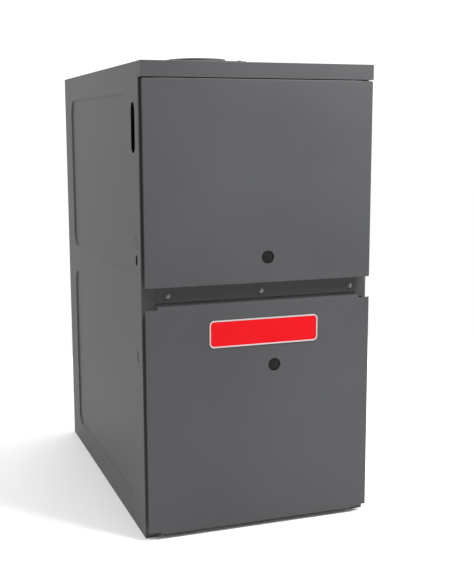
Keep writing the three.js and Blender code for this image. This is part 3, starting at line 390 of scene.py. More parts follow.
def door(name, plug, neck, notched):
    """A door's sheet, folded from a plane along its middle surface."""
    low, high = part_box(name)
    skin = SHEET / 2
    half, bottom, top = high[0] - skin, low[2] + skin, high[2] - skin
    face, rear = low[1] + skin, rim_face - 0.0003
    piece = start(
        bpy.ops.mesh.primitive_plane_add, name + "_sheet", (2 * half, top - bottom, 1),
        size=1, location=(0, face, (bottom + top) / 2), rotation=(math.pi / 2, 0, 0))
    for x in (-open_half, open_half):
        split((x, 0, 0), (1, 0, 0))
    for z in (bottom + neck, top - neck):
        split((0, 0, z), (0, 0, 1))
    if notched:
        pick(piece, "FACE", lambda at, _: abs(at.x) > open_half and not (
            bottom + neck < at.z < top - neck))
        bpy.ops.mesh.delete(type="FACE")
    for way in (-1, 1):
        pick(piece, "EDGE", lambda at, _: near(at.x, way * half) and (
            bottom + neck < at.z < top - neck))
        push(y=SHEET)
        push(x=-way * (DOOR_HEM + skin))
        push(y=rear - face - SHEET - skin)
    for z in (bottom, top):
        pick(piece, "EDGE", lambda at, way: (
            near(at.z, z) and abs(at.x) < open_half and near(at.y, face) and abs(way.x) > 0.9))
        push(y=DOOR_LIP - skin)
    if not notched:
        pick(piece, "VERT", lambda at, _: (
            near(abs(at.x), half) and near(at.y, face) and (near(at.z, top) or near(at.z, bottom))))
        bpy.ops.mesh.bevel(offset=neck * 0.9, segments=4, affect="VERTICES")
    bpy.ops.mesh.select_all(action="SELECT")
    bpy.ops.mesh.normals_make_consistent(inside=False)
    bevelled(piece, BEND, 2, 40)
    apply(piece, "SOLIDIFY", thickness=SHEET, offset=0, use_even_offset=True)
    plug_low, plug_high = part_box(plug)
    middle = [(a + b) / 2 for a, b in zip(plug_low, plug_high)]
    combine(piece, "DIFFERENCE", disc_cutter(
        PLUG_RADIUS + PLUG_FIT, (middle[0], face, middle[2]), 4 * SHEET))
    return piece


finished(door("upper_door", "upper_sight_plug", 0.003, False),
         grey_enamel, "enamel", "upper_door", "upper_door")


# Lower door: folded like the upper one, with small notches at its corners and
# a finger notch in its top flange. It carries the plate.

lower = door("lower_door", "lower_sight_plug", 0.004, True)
door_low, door_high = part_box("lower_door")
combine(lower, "DIFFERENCE", box_cutter(
    (-0.0025, door_low[1] + 0.004, door_high[2] - 0.003),
    (0.0025, door_low[1] + 0.007, door_high[2] + 0.001)))
finished(lower, grey_enamel, "enamel", "lower_door", "lower_door")


# Sight plugs: black plastic caps pressed into the doors' sight holes. Their
# face is a shallow dish inside a rounded rim.


def moulded(name, dark, light, clouds, grain, roughness, relief, specular=0.5):
    """A clouded colour over a fine grain. Clouds and grain are a scale and a
    detail, roughness a base and its spread, relief a depth and a strength."""
    finish = Finish(name)
    finish.shader.inputs["Specular IOR Level"].default_value = specular
    spot = finish.place()
    cloud = finish.noise(spot, *clouds)
    return finish.set(
        Base_Color=finish.blend(cloud, dark, light),
        Roughness=roughness[0] + cloud * roughness[1],
        Normal=finish.bump(finish.noise(spot, *grain), *relief))


black_plastic = moulded(
    "black_plastic", (0.005, 0.005, 0.0055), (0.009, 0.009, 0.0095),
    (60.0, 2.0), (1800.0, 1.0), (0.42, 0.12), (0.00006, 0.4), 0.12)


def sight_plug(node, body):
    low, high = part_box(node)
    at = ((low[0] + high[0]) / 2, low[1], (low[2] + high[2]) / 2)
    piece = start(
        bpy.ops.mesh.primitive_cylinder_add, node + "_cap", vertices=64, radius=PLUG_RADIUS,
        depth=0.005, location=(at[0], at[1] + 0.0025, at[2]), rotation=(math.pi / 2, 0, 0))
    pick(piece, "FACE", lambda _, way: way.y < -0.9)
    bpy.ops.mesh.bevel(offset=0.0006, segments=3, affect="EDGES")
    pick(piece, "FACE", lambda _, way: way.y < -0.9)
    bpy.ops.mesh.inset(thickness=0.0014)
    bpy.ops.mesh.inset(thickness=0.0006)
    bpy.ops.transform.translate(value=(0, 0.0006, 0))
    pick(piece, "FACE", lambda _, way: way.y > 0.9)
    bpy.ops.mesh.inset(thickness=0.0018)
    push(y=0.0015)
    finished(piece, black_plastic, "black_plastic", body, node)
    return piece


sight_plug("upper_sight_plug", "upper_door")
sight_plug("lower_sight_plug", "lower_door")


# Door plate: a blank moulded badge, glued to the lower door. Its face is glossy
# red and its rounded border is pale.


def plate_border():
    finish = Finish("plate_border")
    cloud = finish.noise(finish.place(), 80.0, 2.0)
    return finish.set(
        Base_Color=finish.blend(cloud, (0.32, 0.29, 0.29), (0.39, 0.355, 0.355)),
        Roughness=0.35 + cloud * 0.1)


low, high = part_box("door_plate")
PLATE_CORNER = 0.009
plate = start_box("door_plate_badge", low, high)
pick(plate, "EDGE", lambda _, way: abs(way.y) > 0.9)
bpy.ops.mesh.bevel(offset=PLATE_CORNER, segments=10, affect="EDGES")
pick(plate, "FACE", lambda _, way: way.y < -0.9)
bpy.ops.mesh.bevel(offset=0.0005, segments=2, affect="EDGES")
pick(plate, "FACE", lambda _, way: way.y < -0.99)
bpy.ops.mesh.inset(thickness=0.0018)
bpy.ops.mesh.inset(thickness=0.0004)
bpy.ops.transform.translate(value=(0, 0.0005, 0))
bpy.ops.object.mode_set(mode="OBJECT")
finished(plate, plate_border(), "red_plate", "lower_door", "door_plate")
plate.data.materials.append(moulded(
    "plate_red", (0.45, 0.003, 0.006), (0.50, 0.005, 0.009),
    (25.0, 2.0), (350.0, 1.0), (0.30, 0.08), (0.00006, 0.3), 0.08))
for face in plate.data.polygons:
    if face.normal.y < -0.9 and face.area > 0.5 * (high[0] - low[0]) * (high[2] - low[2]):
        face.material_index = 1


# Side panels: trays with a flange on all four edges, two pressed fields, the
# gas pipe and wire slots and two scored knock-outs. The right one is the left
# one mirrored.

PRESS_DEPTH = 0.0035
PRESS_SLOPE = 0.005
PRESS_CORNER = 0.0335
PRESS_STEPS = 6


def pressing(low, high, surface):
    """A tapered block that goes in through the face x = surface; its sides
    curve like a pressed sheet."""
    outside = surface - 0.002
    piece = start_box("pressing", (outside, *low), (surface, *high))
    pick(piece, "EDGE", lambda _, way: abs(way.x) > 0.9)
    bpy.ops.mesh.bevel(offset=PRESS_CORNER, segments=12, affect="EDGES")
    pick(piece, "FACE", lambda _, way: way.x > 0.9)
    done = 0.0
    for step in range(1, PRESS_STEPS + 1):
        share = step / PRESS_STEPS
        depth = PRESS_DEPTH * share * share * (3 - 2 * share)
        bpy.ops.mesh.inset(thickness=PRESS_SLOPE / PRESS_STEPS, use_even_offset=True)
        bpy.ops.transform.translate(value=(depth - done, 0, 0))
        done = depth
    leave_edit_mode()
    return piece


def slot_cutter(middle, size, low_x, high_x):
    """An upright slot with round ends, cut along X."""
    y, z = middle
    width, height = size
    piece = start_box("cutter", (low_x, y - width / 2, z - height / 2),
                      (high_x, y + width / 2, z + height / 2))
    pick(piece, "EDGE", lambda _, way: abs(way.x) > 0.9)
    bpy.ops.mesh.bevel(offset=width / 2 * 0.999, segments=12, affect="EDGES")
    leave_edit_mode()
    return piece


panel_low, panel_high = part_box("left_side_panel")
door_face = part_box("upper_door")[0][1]
field_front = door_face + 0.095
field_rear = panel_high[1] - 0.075
mid_low, mid_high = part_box("mid_rail")
FIELDS = (
    (0.045, mid_low[2]),
    (mid_high[2] + 0.002, panel_high[2] - 0.051),
)
gas_slot = (door_face + 0.0605, panel_high[2] - 0.1155)
wire_slot = (door_face + 0.0495, 0.522)
control_slot = (door_face + 0.0495, 0.343)
knockout = (door_face + 0.055, 0.555)
SCORE = 0.0008


def side_panel(name):
    surface = panel_low[0]
    piece = start_box(name, panel_low, (-open_half, panel_high[1], panel_high[2]))
    pick(piece, "FACE", lambda _, way: way.x > 0.9)
    bpy.ops.mesh.delete(type="FACE")
    bevelled(piece, 0.0014, 3, 60)
    apply(piece, "SOLIDIFY", thickness=SHEET, offset=-1, use_even_offset=True)
    for low, high in FIELDS:
        field = ((field_front, low), (field_rear, high))
        combine(piece, "UNION", pressing(*field, surface + SHEET / 2))
        combine(piece, "DIFFERENCE", pressing(*field, surface))
    through = surface + 0.02
    outside = surface - 0.002
    scored = surface + SCORE
    combine(
        piece, "DIFFERENCE",
        slot_cutter(gas_slot, (0.028, 0.091), outside, through),
        slot_cutter(wire_slot, (0.012, 0.020), outside, through),
        slot_cutter(control_slot, (0.010, 0.021), outside, scored))
    groove = start(
        bpy.ops.mesh.primitive_torus_add, "cutter", major_radius=0.011, minor_radius=SCORE,
        major_segments=64, minor_segments=8, location=(surface, *knockout),
        rotation=(0, math.pi / 2, 0))
    combine(piece, "DIFFERENCE", groove)
    return piece


left_panel = side_panel("left_side_sheet")
finished(left_panel, grey_enamel, "enamel", "cabinet", "left_side_panel")


def mirrored(piece, name):
    """The same piece for the cabinet's other side."""
    leave_edit_mode()
    twin = bpy.data.objects.new(name, piece.data.copy())
    scene.collection.objects.link(twin)
    select_only(twin)
    twin.scale = (-1, 1, 1)
    bpy.ops.object.transform_apply(location=True, rotation=True, scale=True)
    bpy.ops.object.mode_set(mode="EDIT")
    bpy.ops.mesh.select_all(action="SELECT")
    bpy.ops.mesh.remove_doubles(threshold=0.000002)
    bpy.ops.mesh.normals_make_consistent(inside=False)
    return twin


right_panel = mirrored(left_panel, "right_side_sheet")
finished(right_panel, grey_enamel, "enamel", "cabinet", "right_side_panel")


# Front rails, top sheet and back sheet: folded from the cabinet's steel on a
# press brake, sprayed with the same enamel and spot welded or screwed between
# the side panels' flanges.

record = frame["record"]
BODY_OF = {
    node: body for body, nodes in record["behaviour"]["bodies"].items() for node in nodes}
SLOT_OF = {entry["node"]: entry["material_slot"] for entry in record["subparts"]}


def copied(node, name):
    """A copy of a solid in edit mode, with its flat faces made whole."""
    piece = bpy.data.objects.new(name, frame["nodes"][node].data.copy())
    scene.collection.objects.link(piece)
    select_only(piece)
    bpy.ops.object.mode_set(mode="EDIT")
    bpy.ops.mesh.select_all(action="SELECT")
    bpy.ops.mesh.remove_doubles(threshold=0.000005)
    bpy.ops.mesh.dissolve_limited(angle_limit=math.radians(0.4))
    bpy.ops.mesh.select_all(action="DESELECT")
    return piece


def fitted(piece, material, node):
    return finished(piece, material, SLOT_OF[node], BODY_OF[node], node)


def softened(node, name, material, edge, segments=2, angle=50):
    """A solid's shape with its folds and cut edges rounded."""
    piece = copied(node, name)
    bevelled(piece, edge, segments, angle)
    return fitted(piece, material, node)


for node in ("top_front_rail", "mid_rail", "bottom_front_rail", "top_panel", "back_panel"):
    softened(node, node + "_sheet", grey_enamel, 0.0005)


# Rail screws: zinc plated hexagon washer head screws with a slightly hollow
# top. They hold the blower deck's flange to the middle rail.


def steel(name, dark, light, roughness):
    """Bare or plated steel with a cloudy sheen and fine rolling marks."""
    finish = Finish(name)
    spot = finish.place()
    cloud = finish.noise(spot, 70.0, 3.0)
    grain = finish.noise(finish.stretched(spot, (1.0, 1.0, 0.08)), 1400.0, 1.0)
    finish.shader.inputs["Metallic"].default_value = 0.9
    return finish.set(
        Base_Color=finish.blend(cloud.between(0.3, 0.7), dark, light),
        Roughness=roughness + cloud * 0.14 + grain * 0.05,
        Normal=finish.bump(grain, 0.00004, 0.35))


zinc_steel = steel("zinc_steel", (0.15, 0.148, 0.142), (0.24, 0.237, 0.228), 0.36)
ground_steel = steel("ground_steel", (0.42, 0.42, 0.42), (0.52, 0.52, 0.53), 0.22)


def cylinder(name, radius, start_at, end_at, sides):
    """A rod between two points, in edit mode."""
    a, b = Vector(start_at), Vector(end_at)
    way = b - a
    return start(
        bpy.ops.mesh.primitive_cylinder_add, name, vertices=sides, radius=radius,
        depth=way.length, location=(a + b) / 2,
        rotation=way.to_track_quat("Z", "Y").to_euler())


def closed_rod(name, radius, start_at, end_at, edge, sides):
    """A rod with rounded rims."""
    piece = cylinder(name, radius, start_at, end_at, sides)
    bevelled(piece, edge, 2, 40)
    return piece


def centre(node):
    low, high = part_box(node)
    return [(a + b) / 2 for a, b in zip(low, high)]


for k in (1, 2, 3):
    node = f"mid_rail_screw_{k}"
    low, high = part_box(node)
    x, _, z = centre(node)
    washer = cylinder(node + "_head", 0.005, (x, low[1] + 0.0035, z), (x, low[1] + 0.0045, z), 40)
    bevelled(washer, 0.0003, 2, 40)
    hexagon = cylinder("hexagon", 0.0036, (x, low[1], z), (x, low[1] + 0.0040, z), 6)
    pick(hexagon, "FACE", lambda _, way: way.y < -0.9)
    bpy.ops.mesh.inset(thickness=0.0006)
    bpy.ops.mesh.inset(thickness=0.0006)
    bpy.ops.transform.translate(value=(0, 0.0004, 0))
    bevelled(hexagon, 0.0003, 3, 30)
    shank = cylinder("shank", 0.002, (x, low[1] + 0.003, z), (x, high[1], z), 16)
    combine(washer, "UNION", hexagon, shank)
    fitted(washer, zinc_steel, node)


# Vent collar: a drawn cover plate with a ring for the flue pipe, enamelled
# like the cabinet and screwed to the top sheet. The flue pipe is rolled from
# galvanized steel and slips through it.


def galvanized(name, dark, light, roughness):
    """Hot dipped zinc: flat crystals, each with its own sheen."""
    finish = Finish(name)
    spot = finish.place()
    crystals = finish.node("ShaderNodeTexVoronoi", "Color", {}, spot)
    crystals.link.node.inputs["Scale"].default_value = 150.0
    flakes = finish.node("ShaderNodeTexVoronoi", "Color", {}, spot)
    flakes.link.node.inputs["Scale"].default_value = 330.0
    tone = crystals * 0.6 + flakes * 0.25 + finish.noise(spot, 9.0, 3.0) * 0.3
    finish.shader.inputs["Metallic"].default_value = 0.85
    return finish.set(
        Base_Color=finish.blend(tone.between(0.25, 0.95), dark, light),
        Roughness=roughness + tone * 0.16,
        Normal=finish.bump(tone, 0.00005, 0.25))


zinc_sheet = galvanized("zinc_sheet", (0.36, 0.37, 0.385), (0.53, 0.54, 0.55), 0.30)


SEAM = 0.000004


def spun(name, profile, axis, at, steps):
    """A closed profile of (radius, place along the axis) turned round it."""
    way = Vector({"x": (1, 0, 0), "y": (0, 1, 0), "z": (0, 0, 1)}[axis])
    out = Vector({"x": (0, 0, 1), "y": (0, 0, 1), "z": (1, 0, 0)}[axis])
    foot = Vector(at)
    piece = start(
        bpy.ops.mesh.primitive_circle_add, name, vertices=len(profile), radius=1,
        fill_type="NOTHING")
    shape = bmesh.from_edit_mesh(piece.data)
    for corner, (radius, along) in zip(shape.verts, profile):
        corner.co = foot + out * radius + way * along
    bmesh.update_edit_mesh(piece.data)
    bpy.ops.mesh.select_all(action="SELECT")
    bpy.ops.mesh.spin(steps=steps, angle=2 * math.pi, center=foot, axis=way)
    bpy.ops.mesh.select_all(action="SELECT")
    bpy.ops.mesh.remove_doubles(threshold=SEAM)
    bpy.ops.mesh.dissolve_degenerate(threshold=0.000001)
    bpy.ops.mesh.normals_make_consistent(inside=False)
    return piece


def tube_profile(outer, inner, low, high, edge):
    return [
        (outer - edge, low), (outer, low + edge), (outer, high - edge), (outer - edge, high),
        (inner + edge, high), (inner, high - edge), (inner, low + edge), (inner + edge, low)]


collar_low, collar_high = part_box("vent_collar")
flue_low, flue_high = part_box("flue_pipe")
flue_at = centre("flue_pipe")
FLUE_RADIUS = (flue_high[0] - flue_low[0]) / 2
cover_top = collar_low[2] + 0.0067
cover = start_box("vent_cover", collar_low, (collar_high[0], collar_high[1], cover_top))
pick(cover, "EDGE", lambda _, way: abs(way.z) > 0.9)
bpy.ops.mesh.bevel(offset=0.008, segments=6, affect="EDGES")
pick(cover, "FACE", lambda _, way: way.z > 0.9)
bpy.ops.mesh.bevel(offset=0.0018, segments=4, affect="EDGES")
pick(cover, "FACE", lambda _, way: way.z < -0.9)
bpy.ops.mesh.delete(type="FACE")
apply(cover, "SOLIDIFY", thickness=SHEET, offset=-1, use_even_offset=True)
bore = cylinder("bore", FLUE_RADIUS + 0.0003, (flue_at[0], flue_at[1], 0.8),
                (flue_at[0], flue_at[1], 0.9), 96)
combine(cover, "DIFFERENCE", bore)
ring = spun(
    "ring", tube_profile(FLUE_RADIUS + 0.0015, FLUE_RADIUS + 0.0003, cover_top - SHEET,
                         collar_high[2], 0.0004),
    "z", (flue_at[0], flue_at[1], 0), 96)
combine(cover, "UNION", ring)
for x, y in ((0.012, 0.012), (-0.012, 0.012), (0.012, -0.012), (-0.012, -0.012)):
    foot = (collar_low[0] + x if x > 0 else collar_high[0] + x,
            collar_low[1] + y if y > 0 else collar_high[1] + y)
    head = closed_rod("cover_screw", 0.0032, (*foot, cover_top - 0.0005),
                      (*foot, cover_top + 0.0018), 0.0007, 24)
    combine(cover, "UNION", head)
fitted(cover, grey_enamel, "vent_collar")

pipe = spun(
    "flue_pipe_rolled", tube_profile(FLUE_RADIUS, FLUE_RADIUS - SHEET, flue_low[2],
                                     flue_high[2], 0.0003),
    "z", (flue_at[0], flue_at[1], 0), 96)
fitted(pipe, zinc_sheet, "flue_pipe")


# Galvanized sheet pieces: the pan, the deck, the burner rack, the collector
# box, the tray and the junction box are cut, folded and left bare.

for node in ("bottom_pan", "blower_deck", "burner_rack", "collector_box", "control_tray",
             "junction_box", "motor_mount", "blower_scroll_wrap"):
    softened(node, node + "_sheet", zinc_sheet, 0.0004)


# Vestibule panel: aluminized steel with round holes for the tubes' ends. The
# insulation liner behind it is a glass fibre blanket with a foil face.


def aluminized(name, dark, light, roughness):
    """Aluminium coated steel: satin, with soft rolling marks and a few
    darker heat marks."""
    finish = Finish(name)
    spot = finish.place()
    cloud = finish.noise(spot, 14.0, 4.0)
    marks = finish.noise(finish.stretched(spot, (1.0, 0.06, 1.0)), 600.0, 2.0)
    tone = cloud * 0.7 + marks * 0.3
    finish.shader.inputs["Metallic"].default_value = 0.8
    return finish.set(
        Base_Color=finish.blend(tone.between(0.3, 0.7), dark, light),
        Roughness=roughness + marks * 0.15,
        Normal=finish.bump(marks, 0.00004, 0.3))


satin_aluminized = aluminized("satin_aluminized", (0.36, 0.35, 0.34), (0.47, 0.465, 0.455), 0.36)


def crinkled_foil():
    finish = Finish("crinkled_foil")
    spot = finish.place()
    # One crinkle field sets the bump and also the colour: the foil is painted darker in its low
    # creases and paler on its raised folds, which is painted shade and light over the real relief.
    creases_and_painted_shade = finish.noise(spot, 60.0, 6.0, 0.65)
    finish.shader.inputs["Metallic"].default_value = 0.9
    return finish.set(
        Base_Color=finish.blend(creases_and_painted_shade, (0.50, 0.51, 0.53), (0.66, 0.67, 0.69)),
        Roughness=0.24 + creases_and_painted_shade * 0.2,
        Normal=finish.bump(creases_and_painted_shade, 0.0009, 0.7))


TUBE_LEVELS = (0.521, 0.737)
tube_boxes = [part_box(f"heat_tube_{k}") for k in (1, 2, 3, 4)]
tube_xs = [(low[0] + high[0]) / 2 for low, high in tube_boxes]
TUBE_RADIUS = 0.022
wall_low, wall_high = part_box("vestibule_panel")
wall = start_box("vestibule_sheet", wall_low, wall_high)
bevelled(wall, 0.0003, 2, 40)
for x in tube_xs:
    for z in TUBE_LEVELS:
        combine(wall, "DIFFERENCE", disc_cutter(
            TUBE_RADIUS + 0.0003, (x, wall_low[1], z), 0.01))
fitted(wall, satin_aluminized, "vestibule_panel")

softened("insulation_liner", "insulation_blanket", crinkled_foil(), 0.002, 3)


# Heat exchanger tubes: aluminized steel tube bent into four passes. It is
# rolled into the vestibule panel at both ends, and heat has tinted its first
# pass.


def heat_tinted():
    finish = Finish("heat_tinted")
    spot = finish.place()
    height = finish.node("ShaderNodeSeparateXYZ", 2, {}, spot)
    cloud = finish.noise(spot, 11.0, 4.0)
    marks = finish.noise(finish.stretched(spot, (1.0, 0.06, 1.0)), 700.0, 2.0)
    cool = (height + cloud * 0.10).between(0.54, 0.67)
    finish.shader.inputs["Metallic"].default_value = 0.8
    return finish.set(
        Base_Color=finish.blend(
            cool, finish.blend(cloud.between(0.35, 0.65), (0.27, 0.20, 0.14), (0.20, 0.19, 0.22)),
            finish.blend(cloud, (0.36, 0.355, 0.345), (0.47, 0.465, 0.455))),
        Roughness=0.34 + marks * 0.2,
        Normal=finish.bump(marks, 0.00004, 0.3))


tube_low, tube_high = tube_boxes[0]
PASS_PITCH = (TUBE_LEVELS[1] - TUBE_LEVELS[0]) / 3
BEND_RADIUS = PASS_PITCH / 2
TUBE_WALL = 0.0015
rear_bend = tube_high[1] - TUBE_RADIUS - BEND_RADIUS
front_bend = wall_low[1] + 0.070


def heat_tube(x):
    skin = TUBE_RADIUS - TUBE_WALL / 2
    piece = start(
        bpy.ops.mesh.primitive_circle_add, "heat_tube_bent", vertices=32, radius=skin,
        fill_type="NOTHING", location=(x, tube_low[1], TUBE_LEVELS[0]),
        rotation=(math.pi / 2, 0, 0))
    bpy.ops.mesh.select_all(action="SELECT")
    y, z, way = tube_low[1], TUBE_LEVELS[0], 1
    for turn_at in (rear_bend, front_bend, rear_bend):
        push(y=turn_at - y)
        bpy.ops.mesh.spin(
            steps=14, angle=way * math.pi, center=(x, turn_at, z + BEND_RADIUS), axis=(1, 0, 0))
        y, z, way = turn_at, z + PASS_PITCH, -way
    push(y=tube_low[1] - y)
    bpy.ops.mesh.select_all(action="SELECT")
    bpy.ops.mesh.remove_doubles(threshold=SEAM)
    bpy.ops.mesh.normals_make_consistent(inside=False)
    apply(piece, "SOLIDIFY", thickness=TUBE_WALL, offset=0)
    return piece


def repeated(piece, name, x=0.0, y=0.0, z=0.0):
    """A copy with its own mesh, moved."""
    leave_edit_mode()
    twin = bpy.data.objects.new(name, piece.data.copy())
    scene.collection.objects.link(twin)
    twin.data.transform(Matrix.Translation((x, y, z)))
    return twin


tinted = heat_tinted()
first_tube = heat_tube(tube_xs[0])
for k, x in enumerate(tube_xs[1:], 2):
    fitted(repeated(first_tube, f"heat_tube_bent_{k}", x - tube_xs[0]), tinted, f"heat_tube_{k}")
first_tube.name = "heat_tube_bent_1"
fitted(first_tube, tinted, "heat_tube_1")


# Burners: inshot burners drawn from aluminized steel, with a bell at the gas
# inlet, a narrow throat and a wide flame end seated in the rack.

burner_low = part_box("burner_1")[0]
BURNER_WALL = 0.0012
BURNER_LINE = (
    (0, 0.019), (0.002, 0.0188), (0.008, 0.0150), (0.018, 0.0120), (0.032, 0.0104),
    (0.046, 0.0100), (0.060, 0.0126), (0.074, 0.0168), (0.084, 0.0187), (0.090, 0.019),
    (0.120, 0.019))
outside = [(radius, burner_low[1] + y) for y, radius in BURNER_LINE]
inside = [(radius - BURNER_WALL, y) for radius, y in reversed(outside)]
burner = spun("burner_drawn", outside + inside, "y", (tube_xs[0], 0, TUBE_LEVELS[0]), 48)
bpy.ops.object.mode_set(mode="OBJECT")
for k, x in enumerate(tube_xs[1:], 2):
    fitted(repeated(burner, f"burner_drawn_{k}", x - tube_xs[0]), satin_aluminized, f"burner_{k}")
burner.name = "burner_drawn_1"
fitted(burner, satin_aluminized, "burner_1")


# Gas manifold: black painted steel pipe with a riser, a spud for each burner
# and two tabs on the burner rack.

black_paint = moulded(
    "black_paint", (0.016, 0.016, 0.017), (0.026, 0.026, 0.027),
    (30.0, 3.0), (500.0, 2.0), (0.36, 0.15), (0.00012, 0.35))
softened("gas_manifold", "gas_manifold_pipe", black_paint, 0.0006)


# Gas valve: a die cast aluminium body with a flat cover, a regulator tower,
# an inlet boss and a red dial that turns from off to on.


def cast_aluminium():
    finish = Finish("cast_aluminium")
    spot = finish.place()
    cloud = finish.noise(spot, 20.0, 3.0)
    sand = finish.noise(spot, 700.0, 3.0)
    finish.shader.inputs["Metallic"].default_value = 0.75
    return finish.set(
        Base_Color=finish.blend(cloud.between(0.3, 0.7), (0.40, 0.40, 0.395), (0.50, 0.50, 0.49)),
        Roughness=0.44 + sand * 0.2,
        Normal=finish.bump(sand, 0.00025, 0.5))


cast = cast_aluminium()
red_plastic = moulded(
    "red_moulding", (0.42, 0.012, 0.016), (0.52, 0.02, 0.024),
    (90.0, 2.0), (1500.0, 1.0), (0.34, 0.12), (0.00005, 0.4))
valve = copied("gas_valve", "gas_valve_casting")
bevelled(valve, 0.0016, 3, 40)
valve_low, valve_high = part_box("gas_valve")
for x in (valve_low[0] + 0.009, valve_high[0] - 0.009):
    for z in (valve_low[2] + 0.020, valve_low[2] + 0.055):
        head = closed_rod("cover_screw", 0.0034, (x, valve_low[1] - 0.0003, z),
                          (x, valve_low[1] + 0.003, z), 0.0006, 24)
        combine(valve, "UNION", head)
fitted(valve, cast, "gas_valve")
softened("gas_valve_knob", "gas_valve_dial", red_plastic, 0.0005, 2, 40)


# Igniter and flame sensor: a steatite block clamped to the rack with a rod in
# front of an end burner. The door switch's plunger is the same pale ceramic
# white.

pale_ceramic = moulded(
    "steatite", (0.60, 0.57, 0.50), (0.72, 0.69, 0.62),
    (120.0, 3.0), (900.0, 2.0), (0.55, 0.15), (0.00008, 0.4))
for node in ("igniter", "flame_sensor"):
    softened(node, node + "_block", pale_ceramic, 0.0006)


# Switches: the rollout switch with its red reset button, the limit switch,
# the pressure switch and the door switch, in moulded or drawn cases.

for node, edge in (
        ("rollout_switch", 0.0005), ("pressure_switch", 0.0008), ("door_switch", 0.0008)):
    softened(node, node + "_case", black_plastic, edge, 2, 40)
softened("limit_switch", "limit_switch_case", zinc_steel, 0.0004)
low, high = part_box("rollout_reset_button")
x, y, _ = centre("rollout_reset_button")
button = closed_rod("reset_button_cap", 0.003, (x, y, low[2]), (x, y, high[2]), 0.0008, 32)
fitted(button, red_plastic, "rollout_reset_button")
low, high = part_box("door_switch_plunger")
x, _, z = centre("door_switch_plunger")
plunger = closed_rod("plunger_pin", 0.004, (x, low[1], z), (x, high[1], z), 0.0014, 32)
fitted(plunger, pale_ceramic, "door_switch_plunger")


# Inducer: a black painted volute that draws flue gas from the collector box,
# a shaded pole motor with a cast end, and an aluminized fan wheel.


def cast_iron():
    finish = Finish("cast_iron")
    spot = finish.place()
    cloud = finish.noise(spot, 40.0, 3.0)
    sand = finish.noise(spot, 800.0, 3.0)
    finish.shader.inputs["Metallic"].default_value = 0.5
    return finish.set(
        Base_Color=finish.blend(cloud, (0.055, 0.055, 0.058), (0.085, 0.085, 0.088)),
        Roughness=0.50 + sand * 0.2,
        Normal=finish.bump(sand, 0.0003, 0.5))


softened("inducer_housing", "inducer_volute", black_paint, 0.0008, 3)
softened("inducer_motor", "inducer_motor_case", cast_iron(), 0.0006)
softened("inducer_wheel", "inducer_fan", satin_aluminized, 0.0002, 1)


# Pressure hose and wire harness: a silicone rubber hose pushed on two barbs,
# and a bundle of wires in a braided sleeve.


def braid():
    finish = Finish("braided_sleeve")
    spot = finish.place()
    weave = finish.noise(spot, 1100.0, 1.0)
    return finish.set(
        Base_Color=finish.blend(
            weave.between(0.4, 0.6), (0.010, 0.010, 0.011), (0.05, 0.05, 0.052)),
        Roughness=0.55 + weave * 0.2,
        Normal=finish.bump(weave, 0.0004, 0.7))


def rounded(node, name, material):
    """A bent tube, with its facets rounded and its ends kept flat."""
    piece = copied(node, name)
    bpy.ops.mesh.select_mode(type="EDGE")
    bpy.ops.mesh.edges_select_sharp(sharpness=math.radians(60))
    bpy.ops.transform.edge_crease(value=1.0)
    apply(piece, "SUBSURF", levels=2, render_levels=2)
    return fitted(piece, material, node)


soft_rubber = moulded(
    "soft_rubber", (0.022, 0.022, 0.023), (0.034, 0.034, 0.035),
    (150.0, 2.0), (1200.0, 2.0), (0.62, 0.15), (0.0001, 0.4))
rounded("pressure_hose", "pressure_hose_tube", soft_rubber)
rounded("wire_harness", "wire_harness_sleeve", braid())


# Blower housing: two side plates with rolled inlet mouths, joined by the
# scroll wrap, all galvanized.

rotor_low, rotor_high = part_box("blower_cage")
WHEEL_RADIUS = (rotor_high[1] - rotor_low[1]) / 2
shaft_at = ((rotor_low[1] + rotor_high[1]) / 2, (rotor_low[2] + rotor_high[2]) / 2)
INLET_RADIUS = WHEEL_RADIUS - 0.015
MOUTH_ROLL = 0.012
for node, way in (("blower_side_left", -1), ("blower_side_right", 1)):
    low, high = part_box(node)
    outer = high[0] if way > 0 else low[0]
    plate_side = copied(node, node + "_plate")
    bpy.ops.object.mode_set(mode="OBJECT")
    combine(plate_side, "DIFFERENCE", cylinder(
        "mouth_hole", INLET_RADIUS + 0.0035, (outer - way * 0.03, *shaft_at),
        (outer + way * 0.01, *shaft_at), 96))
    curve = [
        (INLET_RADIUS - MOUTH_ROLL * math.cos(math.radians(a)),
         outer - way * (MOUTH_ROLL - MOUTH_ROLL * math.sin(math.radians(a))))
        for a in (90, 75, 60, 45, 30, 15, 0)]
    lining = [
        (INLET_RADIUS - (MOUTH_ROLL - SHEET) * math.cos(math.radians(a)),
         outer - way * (MOUTH_ROLL - (MOUTH_ROLL - SHEET) * math.sin(math.radians(a))))
        for a in (0, 15, 30, 45, 60, 75, 90)]
    mouth = spun(
        "mouth",
        [(INLET_RADIUS + 0.0045, outer), *curve, *lining,
         (INLET_RADIUS + 0.0045, outer - way * SHEET)],
        "x", (0, *shaft_at), 96)
    combine(plate_side, "UNION", mouth)
    bevelled(plate_side, 0.0003, 1, 60)
    fitted(plate_side, zinc_sheet, node)


# Blower wheel: forward curved blades stamped from one galvanized strip, held
# between two rolled end rings and staked to a centre disc with a hub.

